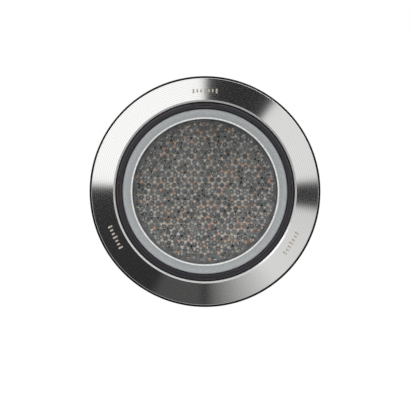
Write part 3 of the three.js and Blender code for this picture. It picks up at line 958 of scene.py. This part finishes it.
def add_facet(target, chance, x, z, surface, upwards):
    roll = chance.random()
    share = facet_chances(math.hypot(x, z))
    if roll < share * 0.36:
        color = ORANGE
    elif roll < share:
        color = CREAM
    elif roll < share + 0.06:
        color = PALE
    elif roll < share + 0.24:
        color = DARK
    elif roll < share + 0.38:
        color = OUTLINE
    else:
        color = SMOKED
    size = TRIANGLE * (0.62 + 0.38 * chance.random())
    phase = (math.pi / 2 if upwards else -math.pi / 2) + 0.3 * (chance.random() - 0.5)
    tip = (x + 0.16 * (chance.random() - 0.5), z + 0.16 * (chance.random() - 0.5))
    heights = ((0.0, 0.24), (0.72, 0.15), (1.0, 0.04))
    rings = [(size * out, surface - proud, color) for out, proud in heights]
    closed_relief(target, *tip, rings, 3, surface + 0.3, phase)


def add_chips(target, chance, x, z, surface):
    """Small bright chips of light where a lenslet meets its neighbours."""
    for i in range(3):
        if chance.random() > CHIP_SHARE:
            continue
        angle = math.radians(30 + 60 * i) + 0.3 * (chance.random() - 0.5)
        near = LENSLET_PITCH * (0.36 + 0.16 * chance.random())
        size = 0.2 + 0.2 * chance.random()
        color = chance.choice((CREAM, OUTLINE, PALE, DARK))
        tip = (x + near * math.cos(angle), z + near * math.sin(angle))
        rings = [(0.0, surface - 0.36, color), (size, surface - 0.30, color)]
        closed_relief(target, *tip, rings, 3, surface + 0.3, TAU * chance.random())


def add_edge_chips(target, chance, outer, surface):
    """Slivers of colour in the narrow band that the array leaves free along the rim."""
    for _ in range(EDGE_CHIPS):
        angle = TAU * chance.random()
        away = outer - 1.0 - 0.9 * chance.random()
        size = 0.22 + 0.22 * chance.random()
        color = chance.choice((CREAM, ORANGE, OUTLINE, OUTLINE, PALE, DARK))
        tip = (away * math.cos(angle), away * math.sin(angle))
        rings = [(0.0, surface - 0.34, color), (size, surface - 0.28, color)]
        closed_relief(target, *tip, rings, 3, surface + 0.3, TAU * chance.random())


def make_prism_plate():
    front, back = span("prism_plate")
    outer = reach("prism_plate")
    surface = front + 0.32
    materials = lenslet_plate_materials()
    plate = bmesh.new()
    points = fillet([(0, surface), (outer - 0.5, surface), (outer - 0.4, front + 0.05),
                     (outer, front + 0.05, 0.1), (outer, back, 0.1), (0, back)])
    turn_into(plate, lambda angle: points, FINE)
    close_axis(plate)
    chance = random.Random(PLATE_SEED)
    third = LENSLET_PITCH / math.sqrt(3)
    for x, z in lattice(outer - 0.9):
        add_lenslet(plate, chance, *strayed(x, z), surface)
        if math.hypot(x, z) < outer - 1.9:
            add_chips(plate, chance, *strayed(x, z), surface)
        for upwards, shift in ((False, -third), (True, third)):
            if math.hypot(x, z + shift) < outer - 0.9:
                add_facet(plate, chance, *strayed(x, z + shift), surface, upwards)
    add_edge_chips(plate, chance, outer, surface)
    piece = finish_mesh("prism_plate_lenslets", plate, materials, math.radians(25))
    stand_for(piece, LIGHT, "prism", "prism_plate")


make_prism_plate()


# ---------------------------------------------------------------- screws

SCREW_SIDES = 24
HEX_TURN = TAU / 6


def hex_radius(apothem, angle, phase=0.0):
    """Distance from the middle to a hexagon's edge; at angle 0 it is a flat's middle, plus the phase."""
    within = (angle + phase + HEX_TURN / 2) % HEX_TURN - HEX_TURN / 2
    return apothem / math.cos(within)


def make_screw(node, head_height, shank, pitch, towards_back, socket):
    """A pan-head screw with a hexagon socket and a real helical thread, in place of a CAD screw."""
    front, back = span(node)
    head_out, way = (front, 1) if towards_back else (back, -1)
    head = reach(node)
    length = back - front
    marks = stations(head_height + 0.8, length - 0.9, pitch)

    def outline(angle):
        drive = hex_radius(socket, angle)
        points = [
            (0, head_height * 0.65),
            (drive * 0.98, head_height * 0.62),
            (drive, head_height * 0.06),
            (drive + 0.12, 0.0),
            (head * 0.6, 0.02),
            (head * 0.82, head_height * 0.12),
            (head * 0.96, head_height * 0.42),
            (head - 0.01, head_height - 0.12),
            (head - 0.1, head_height),
            (shank * 0.95, head_height),
        ]
        for y in marks:
            tall = thread_height(y, angle, marks[0], marks[-1], pitch)
            points.append((shank * (0.78 + 0.2 * tall), y))
        points += [(shank * 0.55, length - 0.25), (0, length)]
        return [(r, head_out + way * y) for r, y in points]

    screw = swept(node + "_threaded", outline, [STAINLESS], SCREW_SIDES)
    stand_for(place(screw, *centre(node)), LIGHT, "stainless", node)


def numbered(base, count):
    return [f"{base}_{i}" for i in range(1, count + 1)]


def make_screws():
    for node in numbered("cap_screw", 4):
        make_screw(node, 1.9, 1.1, 0.7, False, 1.15)
    for node in numbered("driver_screw", 3):
        make_screw(node, 1.8, 1.2, 0.6, False, 1.0)
    for node in numbered("board_screw", 3):
        make_screw(node, 1.8, 1.2, 0.6, True, 1.0)


make_screws()


# ---------------------------------------------------------------- rear cap and cable gland

CAP_RIBS = 12
CAP_GRIPS = 96
CAP_GRIP_DEPTH = 0.22
CAP_PLUG = 24.3  # radius of the part that enters the housing
CAP_WALL_INSIDE = 21
CAP_HOLE = 8.1  # for the gland
CAP_RINGS = ((11.9, 13.1), (22.9, 24.1))  # raised rings that end the ribs


def make_rear_cap():
    """A plug with an O-ring groove, under a gripped cover with ribs on its face."""
    plug_front, face = span("rear_cap")
    outer = reach("rear_cap")
    groove_front, groove_back = plug_front + 1.2, plug_front + 3.2
    joint = span("housing")[1]

    def outline(angle):
        edge = outer - CAP_GRIP_DEPTH * (0.5 + 0.5 * math.cos(angle * CAP_GRIPS))
        return [
            (CAP_HOLE, joint),
            (CAP_WALL_INSIDE, joint),
            (CAP_WALL_INSIDE, plug_front),
            (CAP_PLUG - 0.3, plug_front),
            (CAP_PLUG, plug_front + 0.3),
            (CAP_PLUG, groove_front),
            (CAP_PLUG - 1.3, groove_front),
            (CAP_PLUG - 1.3, groove_back),
            (CAP_PLUG, groove_back),
            (CAP_PLUG, joint),
            (edge, joint),
            (edge, face - 0.8),
            (edge - 0.5, face - 0.15),
            (outer - 1.0, face - SKIN),
            (CAP_HOLE + 0.3, face - SKIN),
            (CAP_HOLE, face - 0.3),
        ]

    made = bmesh.new()
    turn_into(made, outline, CAP_GRIPS * 6)
    for i in range(CAP_RIBS):
        rib = bmesh.new()
        rounded_box(rib, (12.6, face - 0.6, -0.55), (23.2, face + 0.7, 0.55), 0.2)
        add_spun(made, rib, TAU * i / CAP_RIBS)
    for inner, outside in CAP_RINGS:
        points = fillet([(inner, face - 0.6), (outside, face - 0.6), (outside, face + 0.7, 0.25),
                         (inner, face + 0.7, 0.25)])
        turn_into(made, lambda angle: points, FINE)
    cap = finish_mesh("rear_cap_ribbed", made, [BLACK])
    stand_for(cap, LIGHT, "black_polymer", "rear_cap")


GLAND_PITCH = 1.5
HEX_CORNER = math.cos(math.pi / 6)


def hexagon_band(apothem, front, back, chamfer, angle):
    """Outline points of a hexagon's outside whose corners are turned down at both ends."""
    corner = apothem / HEX_CORNER
    points = []
    steps = 5
    for i in range(steps + 1):
        t = i / steps
        limit = apothem - 0.15 + (corner - apothem + 0.2) * t
        points.append((min(hex_radius(apothem, angle), limit), front + chamfer * t))
    mirrored = [(r, back - (y - front)) for r, y in reversed(points)]
    return points + mirrored


def threaded(radius, depth, start, end, pitch, angle):
    """Outline points of an outside thread."""
    return [
        (radius - depth * (1 - thread_height(y, angle, start, end, pitch)), y)
        for y in stations(start, end, pitch)
    ]


def make_gland_body():
    thread_front, back = span("gland_body")
    washer_back = span("gland_washer")[1]
    hex_back = washer_back + 5
    seat = span("gland_seal")[0]

    def outline(angle):
        return [
            (4.3, thread_front + 0.3),
            (4.6, thread_front),
            *threaded(7.83, 0.5, thread_front + 0.2, washer_back - 0.4, GLAND_PITCH, angle),
            (7.4, washer_back),
            *hexagon_band(12 * HEX_CORNER - SKIN, washer_back, hex_back, 0.8, angle),
            (7.2, hex_back),
            *threaded(7.38, 0.5, hex_back + 0.5, back - 0.3, GLAND_PITCH, angle),
            (6.7, back),
            (5.9, back),
            (5.9, seat),
            (4.3, seat),
        ]

    body = swept("gland_body_threaded", outline, [BLACK])
    stand_for(body, LIGHT, "black_polymer", "gland_body")


DOME_RIBS = 18


def make_gland_nut():
    front, back = span("gland_nut")
    hex_back = front + 8
    clamp_back = span("gland_clamp_ring")[1]
    apothem = 11 * HEX_CORNER - SKIN
    dome_steps = 12

    def outline(angle):
        flute = 0.22 * (0.5 + 0.5 * math.cos(angle * DOME_RIBS))
        dome = []
        for i in range(dome_steps + 1):
            a = (math.pi / 2) * i / dome_steps
            r = 6.7 + 2.75 * math.cos(a)
            fade = math.sin(2 * a) if a < math.pi / 2 else 0.0
            y = hex_back + 0.15 + (back - hex_back - 0.2) * math.sin(a)
            dome.append((r - flute * max(0.0, fade), y))
        return [
            (7.8, front + 0.05),
            *hexagon_band(apothem, front, hex_back, 0.7, angle),
            *dome,
            (4.9, back - 0.05),
            (4.1, back - 0.8),
            (4.1, clamp_back + 0.05),
            (7.8, clamp_back + 0.05),
        ]

    nut = swept("gland_nut_domed", outline, [BLACK], DOME_RIBS * STEPS_PER_GRIP)
    stand_for(nut, "cable_nut", "black_polymer", "gland_nut")


def make_gland_rings():
    make_flat_ring("gland_washer", "ring", LIGHT, "black_rubber", RUBBER, 8.0, (0.2, 0.4, 0.4, 0.2))
    front, back = span("gland_seal")
    outer = reach("gland_seal")
    ribs = []
    count = 4
    for i in range(count):
        y = back - 0.4 - (i + 0.5) * (back - front - 0.8) / count
        ribs += [(3.95, y + 0.45), (3.62, y), (3.95, y - 0.45)]
    grommet = turned("gland_seal_ribbed", [
        (3.9, front + 0.1),
        (outer - 0.1, front + 0.1, 0.2),
        (outer - 0.1, back, 0.4),
        (4.0, back, 0.2),
        *ribs,
    ], [RUBBER])
    stand_for(grommet, LIGHT, "black_rubber", "gland_seal")

    make_flat_ring("gland_clamp_ring", "smooth", "cable_clamp", "white_acetal", ACETAL, 3.9,
                   (0.2, 0.2, 0.3, 0.3))


def make_gland_lock_nut():
    front, back = span("gland_lock_nut")

    def outline(angle):
        return [
            (8.15, front),
            *hexagon_band(11.5 * HEX_CORNER - SKIN, front, back, 0.6, angle),
            (8.15, back),
        ]

    nut = swept("gland_lock_nut_hex", outline, [BLACK])
    stand_for(nut, LIGHT, "black_polymer", "gland_lock_nut")


make_rear_cap()
make_gland_body()
make_gland_nut()
make_gland_rings()
make_gland_lock_nut()


# ---------------------------------------------------------------- inside: light engine

def board_look(name, color, track):
    """A circuit board: solder mask over square loops of copper track, with a fine gloss."""
    look = Finish(name, color, 0.35, Coat_Weight=0.4, Coat_Roughness=0.15)
    weave = look.noise(2500.0, 1.0)
    cells = look.node("TexVoronoi", feature="F1", distance="CHEBYCHEV")
    cells.inputs["Scale"].default_value = 260.0
    look.join(look.object_place, cells.inputs["Vector"])
    loops = [(0.22, color), (0.24, track), (0.29, track), (0.31, color)]
    tracks = look.ramp(cells.outputs["Distance"], loops)
    tones = look.ramp(weave, [(0.3, grey(0.9)), (0.7, grey(1.0))])
    look.color_from(look.multiply_colors(tracks, tones))
    look.bump_from(weave, 0.000005)
    return look.material


def glossy(name, color, roughness=0.25):
    """A smooth moulded or coated part with faint tone changes."""
    look = Finish(name, color, roughness, Coat_Weight=0.3, Coat_Roughness=0.2)
    tones = look.noise(400.0, 2.0)
    look.color_from(look.ramp(tones, [(0.3, shade(color, 0.85)), (0.7, shade(color, 1.15))]))
    look.roughness_from(tones, roughness - 0.05, roughness + 0.1)
    look.bump_from(look.noise(1500.0, 2.0), 0.000005)
    return look.material


def silvered():
    look = Finish("silvered", (0.82, 0.82, 0.81), 0.12, Metallic=1.0)
    look.roughness_from(look.noise(500.0, 2.0), 0.07, 0.2)
    look.bump_from(look.noise(900.0, 2.0), 0.000006)
    return look.material


WHITE_BOARD = board_look("white_solder_mask", (0.72, 0.71, 0.67), (0.60, 0.58, 0.52))
GREEN_BOARD = board_look("green_solder_mask", (0.012, 0.085, 0.035), (0.03, 0.16, 0.07))
PHOSPHOR = glossy("led_phosphor", (0.80, 0.42, 0.10), 0.3)
LED_BASE = glossy("led_ceramic", (0.75, 0.74, 0.70), 0.45)
PAD = moulded("silicone_pad", (0.22, 0.25, 0.30), 0.7)
SILVER = silvered()
EPOXY = moulded("moulded_epoxy", (0.018, 0.018, 0.02), 0.45, 1500.0, 0.00001)
SLEEVE = glossy("capacitor_sleeve", (0.02, 0.05, 0.17))
TERMINAL = moulded("green_terminal_nylon", (0.03, 0.20, 0.08), 0.4, 900.0, 0.00001)
COPPER = glossy("enamelled_copper", (0.55, 0.20, 0.07), 0.3)
RED_WIRE = glossy("red_insulation", (0.45, 0.02, 0.015), 0.4)
BLACK_WIRE = glossy("black_insulation", (0.012, 0.012, 0.012), 0.4)


def keep_node(node, material, bevel=0.0):
    """Keeps a CAD node, with a procedural material and softened edges."""
    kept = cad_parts[node]
    kept.data.materials.clear()
    kept.data.materials.append(material)
    if bevel:
        step = kept.modifiers.new("soft_edges", "BEVEL")
        step.width = bevel * MM
        step.segments = 2
        step.limit_method = "ANGLE"
        step.angle_limit = math.radians(40)
        step.harden_normals = False


def make_reflector():
    """A band of mirror with faceted inner edges, between the plate and the board."""
    front, back = span("reflector")
    facets = 36

    def outline(angle):
        facet = 0.12 * abs(((angle * facets / TAU) % 1.0) - 0.5) * 2
        return [
            (20.6 - facet, front + 0.1), (21.2, front), (21.45, front + 0.2),
            (20.45, back - 0.1), (19.75, back), (19.65 - facet, back - 0.2),
        ]

    mirror = swept("reflector_faceted", outline, [SILVER], facets * 4, math.radians(12))
    stand_for(mirror, LIGHT, "silvered", "reflector")


def make_led(node):
    """A ceramic base with a dome of phosphor on it."""
    front, back = span(node)
    base_front = back - 0.8
    x, z = centre(node)
    made = bmesh.new()
    rounded_box(made, (x - 1.74, base_front, z - 1.74), (x + 1.74, back, z + 1.74), 0.15)
    base = set(made.faces)
    dome_steps = 8
    rings = [(0.0, front, 1)]
    for i in range(1, dome_steps + 1):
        a = (math.pi / 2) * i / dome_steps
        rings.append((1.5 * math.sin(a), base_front - 1.5 * math.cos(a), 1))
    closed_relief(made, x, z, rings, 24, base_front + 0.2)
    for face in made.faces:
        face.material_index = 0 if face in base else 1
    package = finish_mesh(node + "_domed", made, [LED_BASE, PHOSPHOR])
    stand_for(package, LIGHT, "led_phosphor", node)


def make_light_engine():
    make_reflector()
    for node in numbered("led", 7):
        make_led(node)
    keep_node("led_board", WHITE_BOARD, 0.1)
    keep_node("thermal_pad", PAD)
    keep_node("heat_sink", ALUMINIUM, 0.15)
    keep_node("circlip", STAINLESS, 0.1)


make_light_engine()


# ---------------------------------------------------------------- inside: driver

def make_capacitor():
    """A sleeved can with a crimp near its board end and a bare top."""
    front, back = span("capacitor")
    outer = reach("capacitor")
    side = outer - SKIN

    def material_at(r, y):
        return 1 if y > back - 0.3 and r < outer - 1.1 else 0

    can = turned("capacitor_can", [
        (0, front),
        (outer - 0.3, front, 0.2),
        (side, front + 0.5, 0.2),
        (side, front + 0.9, 0.2),
        (outer - 0.35, front + 1.2, 0.2),
        (side, front + 1.5, 0.2),
        (side, back, 0.4),
        (outer - 1.0, back - SKIN, 0.1),
        (outer - 1.2, back - 0.25, 0.1),
        (0, back - 0.25),
    ], [SLEEVE, ALUMINIUM], SMALL, material_at)
    stand_for(place(can, *centre("capacitor")), LIGHT, "blue_sleeve", "capacitor")


def make_inductor():
    """A drum core with one layer of enamelled wire showing between its flanges."""
    front, back = span("inductor")
    outer = reach("inductor")
    side = outer - SKIN
    turns = 7
    coil_front, coil_back = front + 0.9, back - 0.9
    step = (coil_back - coil_front) / turns
    coil = []
    for i in range(turns):
        for k in range(6):
            a = math.pi * k / 5
            y = coil_front + (i + 0.5 - 0.5 * math.cos(a)) * step
            coil.append((outer - 0.75 + 0.3 * math.sin(a), y))

    def material_at(r, y):
        return 1 if coil_front + 0.01 < y < coil_back - 0.01 and r > outer - 1.2 else 0

    drum = turned("inductor_drum", [
        (0, front),
        (side, front, 0.15),
        (side, coil_front, 0.15),
        *coil,
        (side, coil_back, 0.15),
        (side, back, 0.25),
        (0, back),
    ], [EPOXY, COPPER], SMALL, material_at)
    stand_for(place(drum, *centre("inductor")), LIGHT, "dark_part", "inductor")


def make_chip(node, legs):
    """A moulded package with gull-wing legs along two sides, inside the CAD block's footprint."""
    low, high = (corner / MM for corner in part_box(node))
    inset = 0.6
    made = bmesh.new()
    rounded_box(made, (low.x + SKIN, low.y + 0.25, low.z + inset),
                (high.x - SKIN, high.y - SKIN, high.z - inset), 0.12)
    body_faces = set(made.faces)
    pitch = (high.x - low.x) / legs
    for i in range(legs):
        x = low.x + (i + 0.5) * pitch
        for edge, way in ((low.z, 1), (high.z, -1)):
            near, far = sorted((edge + way * SKIN, edge + way * (inset + 0.1)))
            rounded_box(made, (x - 0.2, low.y + 0.01, near), (x + 0.2, low.y + 0.35, far), 0.05)
    for face in made.faces:
        face.material_index = 0 if face in body_faces else 1
    chip = finish_mesh(node + "_legged", made, [EPOXY, STAINLESS])
    stand_for(chip, LIGHT, "dark_part", node)


TERMINAL_WAYS = (-2.5, 2.5)  # where its two ways stand, from its middle


def make_terminal_block():
    """Two ways, each with a clamp screw on top and a wire mouth in the side."""
    low, high = (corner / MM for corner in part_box("terminal_block"))
    made = bmesh.new()
    rounded_box(made, low + Vector((SKIN, 0.01, SKIN)), high - Vector((SKIN, 0.6, SKIN)), 0.25)
    block = finish_mesh("terminal_block_two_way", made, [TERMINAL, EPOXY])
    holes = bmesh.new()
    middle_x, middle_z = (low.x + high.x) / 2, (low.z + high.z) / 2
    for way in TERMINAL_WAYS:
        rounded_box(holes, (middle_x + way - 1.6, low.y + 3.5, middle_z - 1.6),
                    (middle_x + way + 1.6, high.y + 1, middle_z + 1.6), 0.3)
        rounded_box(holes, (middle_x + way - 1.4, low.y + 0.8, low.z - 1),
                    (middle_x + way + 1.4, low.y + 3.2, low.z + 3), 0.3)
    cut_away(block, finish_mesh("terminal_cutter", holes, [EPOXY]))
    stand_for(block, LIGHT, "green_terminal", "terminal_block")
    heads = bmesh.new()
    for way in TERMINAL_WAYS:
        head = ((0.0, 4.1), (0.4, 4.1), (0.45, 4.6), (1.2, 4.6), (1.4, 4.4))
        rings = [(radius, low.y + up, 0) for radius, up in head]
        closed_relief(heads, middle_x + way, middle_z, rings, SCREW_SIDES, low.y + 3.52)
    screws = finish_mesh("terminal_screws", heads, [STAINLESS])
    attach(screws, LIGHT)


def make_driver():
    make_capacitor()
    make_inductor()
    make_chip("driver_chip", 4)
    make_chip("bridge_rectifier", 2)
    make_terminal_block()
    keep_node("driver_board", GREEN_BOARD, 0.1)
    for node in numbered("standoff", 3):
        front, back = span(node)
        sleeve = turned(node + "_turned", [
            (1.6, front, 0.15), (2.58, front, 0.3), (2.58, back, 0.3), (1.6, back, 0.15),
        ], [ACETAL], SMALL)
        stand_for(place(sleeve, *centre(node)), LIGHT, "white_acetal", node)
    keep_node("wire_red", RED_WIRE)
    keep_node("wire_black", BLACK_WIRE)


make_driver()


# ---------------------------------------------------------------- camera and light

SOFT_BOXES = (  # round the optical axis, edge to edge: (share of a turn from the left, brightness)
    ((0.18, 0.1), (0.24, 0.1)),  # a dim one at the lower left
    ((0.26, 0.15), (0.36, 1.0), (0.47, 0.9)),  # lower right, fading downwards
    ((0.52, 1.05), (0.64, 1.05)),  # right
    ((0.755, 1.4), (0.985, 1.4)),  # upper left, the main one
)
SOFT_BOX_FEATHER = 0.01
GAP_LIGHT = 0.03  # between the soft boxes
SOFT_BOX_RIM = (0.68, 0.85)  # where they end, as the cosine of the angle from the optical axis
LENS_HOLE = (0.9962, 0.9986)  # the dark middle straight in front, where the soft boxes begin
HOLE_LIGHT = 0.08
ROOM_HEIGHTS = (-0.6, 0.8)  # between these the room's light rises from the ground's to the sky's
GROUND = 0.62
SKY = 1.1
REAR_LAMPS = ((0.62, 0.45, 0.64), (-0.75, 0.30, 0.59))  # towards the soft lamps behind the wall
REAR_LAMP_EDGE = (0.88, 0.96)
REAR_LAMP_LIGHT = 2.0


def point_camera():
    data = bpy.data.cameras.new("camera")
    data.lens = SENSOR * CAMERA_DISTANCE / VIEW_WIDTH
    data.sensor_width = SENSOR
    data.shift_y = -VIEW_DROP / VIEW_WIDTH
    camera = bpy.data.objects.new("camera", data)
    camera.location = (0, span("face_ring")[0] * MM - CAMERA_DISTANCE, 0)
    camera.rotation_euler = (math.pi / 2, 0, 0)
    bpy.context.scene.collection.objects.link(camera)
    bpy.context.scene.camera = camera


def soft_box_stops():
    """The soft boxes and the dark gaps between them, as places round the axis and their brightness."""
    stops = []
    for box in SOFT_BOXES:
        stops.append((box[0][0] - SOFT_BOX_FEATHER, GAP_LIGHT))
        stops.extend(box)
        stops.append((box[-1][0] + SOFT_BOX_FEATHER, GAP_LIGHT))
    return stops


def room_light(sky, direction):
    """The world's colour in a direction: soft boxes in front, and an even room with two lamps behind."""
    parts = sky.node("SeparateXYZ")
    sky.join(direction, parts.inputs[0])
    x, y, z = parts.outputs
    share = sky.value("MULTIPLY_ADD", sky.value("ARCTAN2", z, x), 1 / TAU, 0.5)
    boxes = sky.ramp(share, [(at, grey(bright)) for at, bright in soft_box_stops()])
    ahead = sky.value("MULTIPLY", y, -1.0)
    around = sky.scaled(z, GROUND, SKY, *ROOM_HEIGHTS, SMOOTH)
    for lamp in REAR_LAMPS:
        towards = sky.node("VectorMath", operation="DOT_PRODUCT")
        towards.inputs[1].default_value = Vector(lamp).normalized()
        sky.join(direction, towards.inputs[0])
        glow = sky.scaled(towards.outputs["Value"], 0.0, REAR_LAMP_LIGHT, *REAR_LAMP_EDGE, SMOOTH)
        around = sky.value("ADD", around, glow)
    held = sky.node("VectorMath", operation="SCALE")
    sky.join(boxes, held.inputs[0])
    sky.join(sky.scaled(ahead, 1.0, HOLE_LIGHT, *LENS_HOLE, SMOOTH), held.inputs["Scale"])
    mixed = sky.node("Mix", data_type="RGBA")
    sky.join(sky.scaled(ahead, 0.0, 1.0, *SOFT_BOX_RIM, SMOOTH), mixed.inputs["Factor"])
    sky.join(around, mixed.inputs[6])
    sky.join(held.outputs[0], mixed.inputs[7])
    return mixed.outputs[2]


def light_studio():
    """Lights the object by the room, while the camera sees plain white behind it."""
    world = bpy.data.worlds.new("studio")
    bpy.context.scene.world = world
    world.use_nodes = True
    world.node_tree.nodes.clear()
    sky = Nodes(world.node_tree)
    lit = sky.node("Background")
    sky.join(room_light(sky, sky.node("TexCoord").outputs["Generated"]), lit.inputs["Color"])
    white = sky.node("Background")
    white.inputs["Color"].default_value = (1, 1, 1, 1)
    chosen = sky.node("MixShader")
    sky.join(sky.node("LightPath").outputs["Is Camera Ray"], chosen.inputs[0])
    sky.join(lit.outputs[0], chosen.inputs[1])
    sky.join(white.outputs[0], chosen.inputs[2])
    sky.join(chosen.outputs[0], sky.node("OutputWorld").inputs["Surface"])
    bpy.context.scene.view_settings.view_transform = "Standard"


def lay_floor():
    """A pale disc under the light that fades into the white room."""
    disc = bmesh.new()
    bmesh.ops.create_circle(disc, cap_ends=True, segments=MEDIUM, radius=FLOOR_RADIUS)
    mesh = bpy.data.meshes.new("floor")
    disc.to_mesh(mesh)
    disc.free()
    look = Finish("pale_floor", (0.78, 0.78, 0.77), 0.8, Specular_IOR_Level=0.2)
    look.color_from(look.ramp(look.noise(8.0, 2.0), [(0.3, (0.76, 0.76, 0.75)), (0.7, (0.80, 0.80, 0.79))]))
    away = look.node("VectorMath", operation="LENGTH")
    look.join(look.object_place, away.inputs[0])
    faded = look.scaled(away.outputs["Value"], 0.0, 1.0, FLOOR_RADIUS * 0.45, FLOOR_RADIUS)
    mixed = look.node("MixShader")
    look.join(faded, mixed.inputs[0])
    look.join(look.shader.outputs[0], mixed.inputs[1])
    look.join(look.node("BsdfTransparent").outputs[0], mixed.inputs[2])
    look.join(mixed.outputs[0], look.tree.nodes["Material Output"].inputs["Surface"])
    mesh.materials.append(look.material)
    floor = bpy.data.objects.new("floor", mesh)
    floor.location = (0, 0, FLOOR_Z)
    bpy.context.scene.collection.objects.link(floor)
    floor.visible_glossy = False  # mirrored, it would lighten the dark parts of the steel ring


point_camera()
light_studio()
lay_floor()
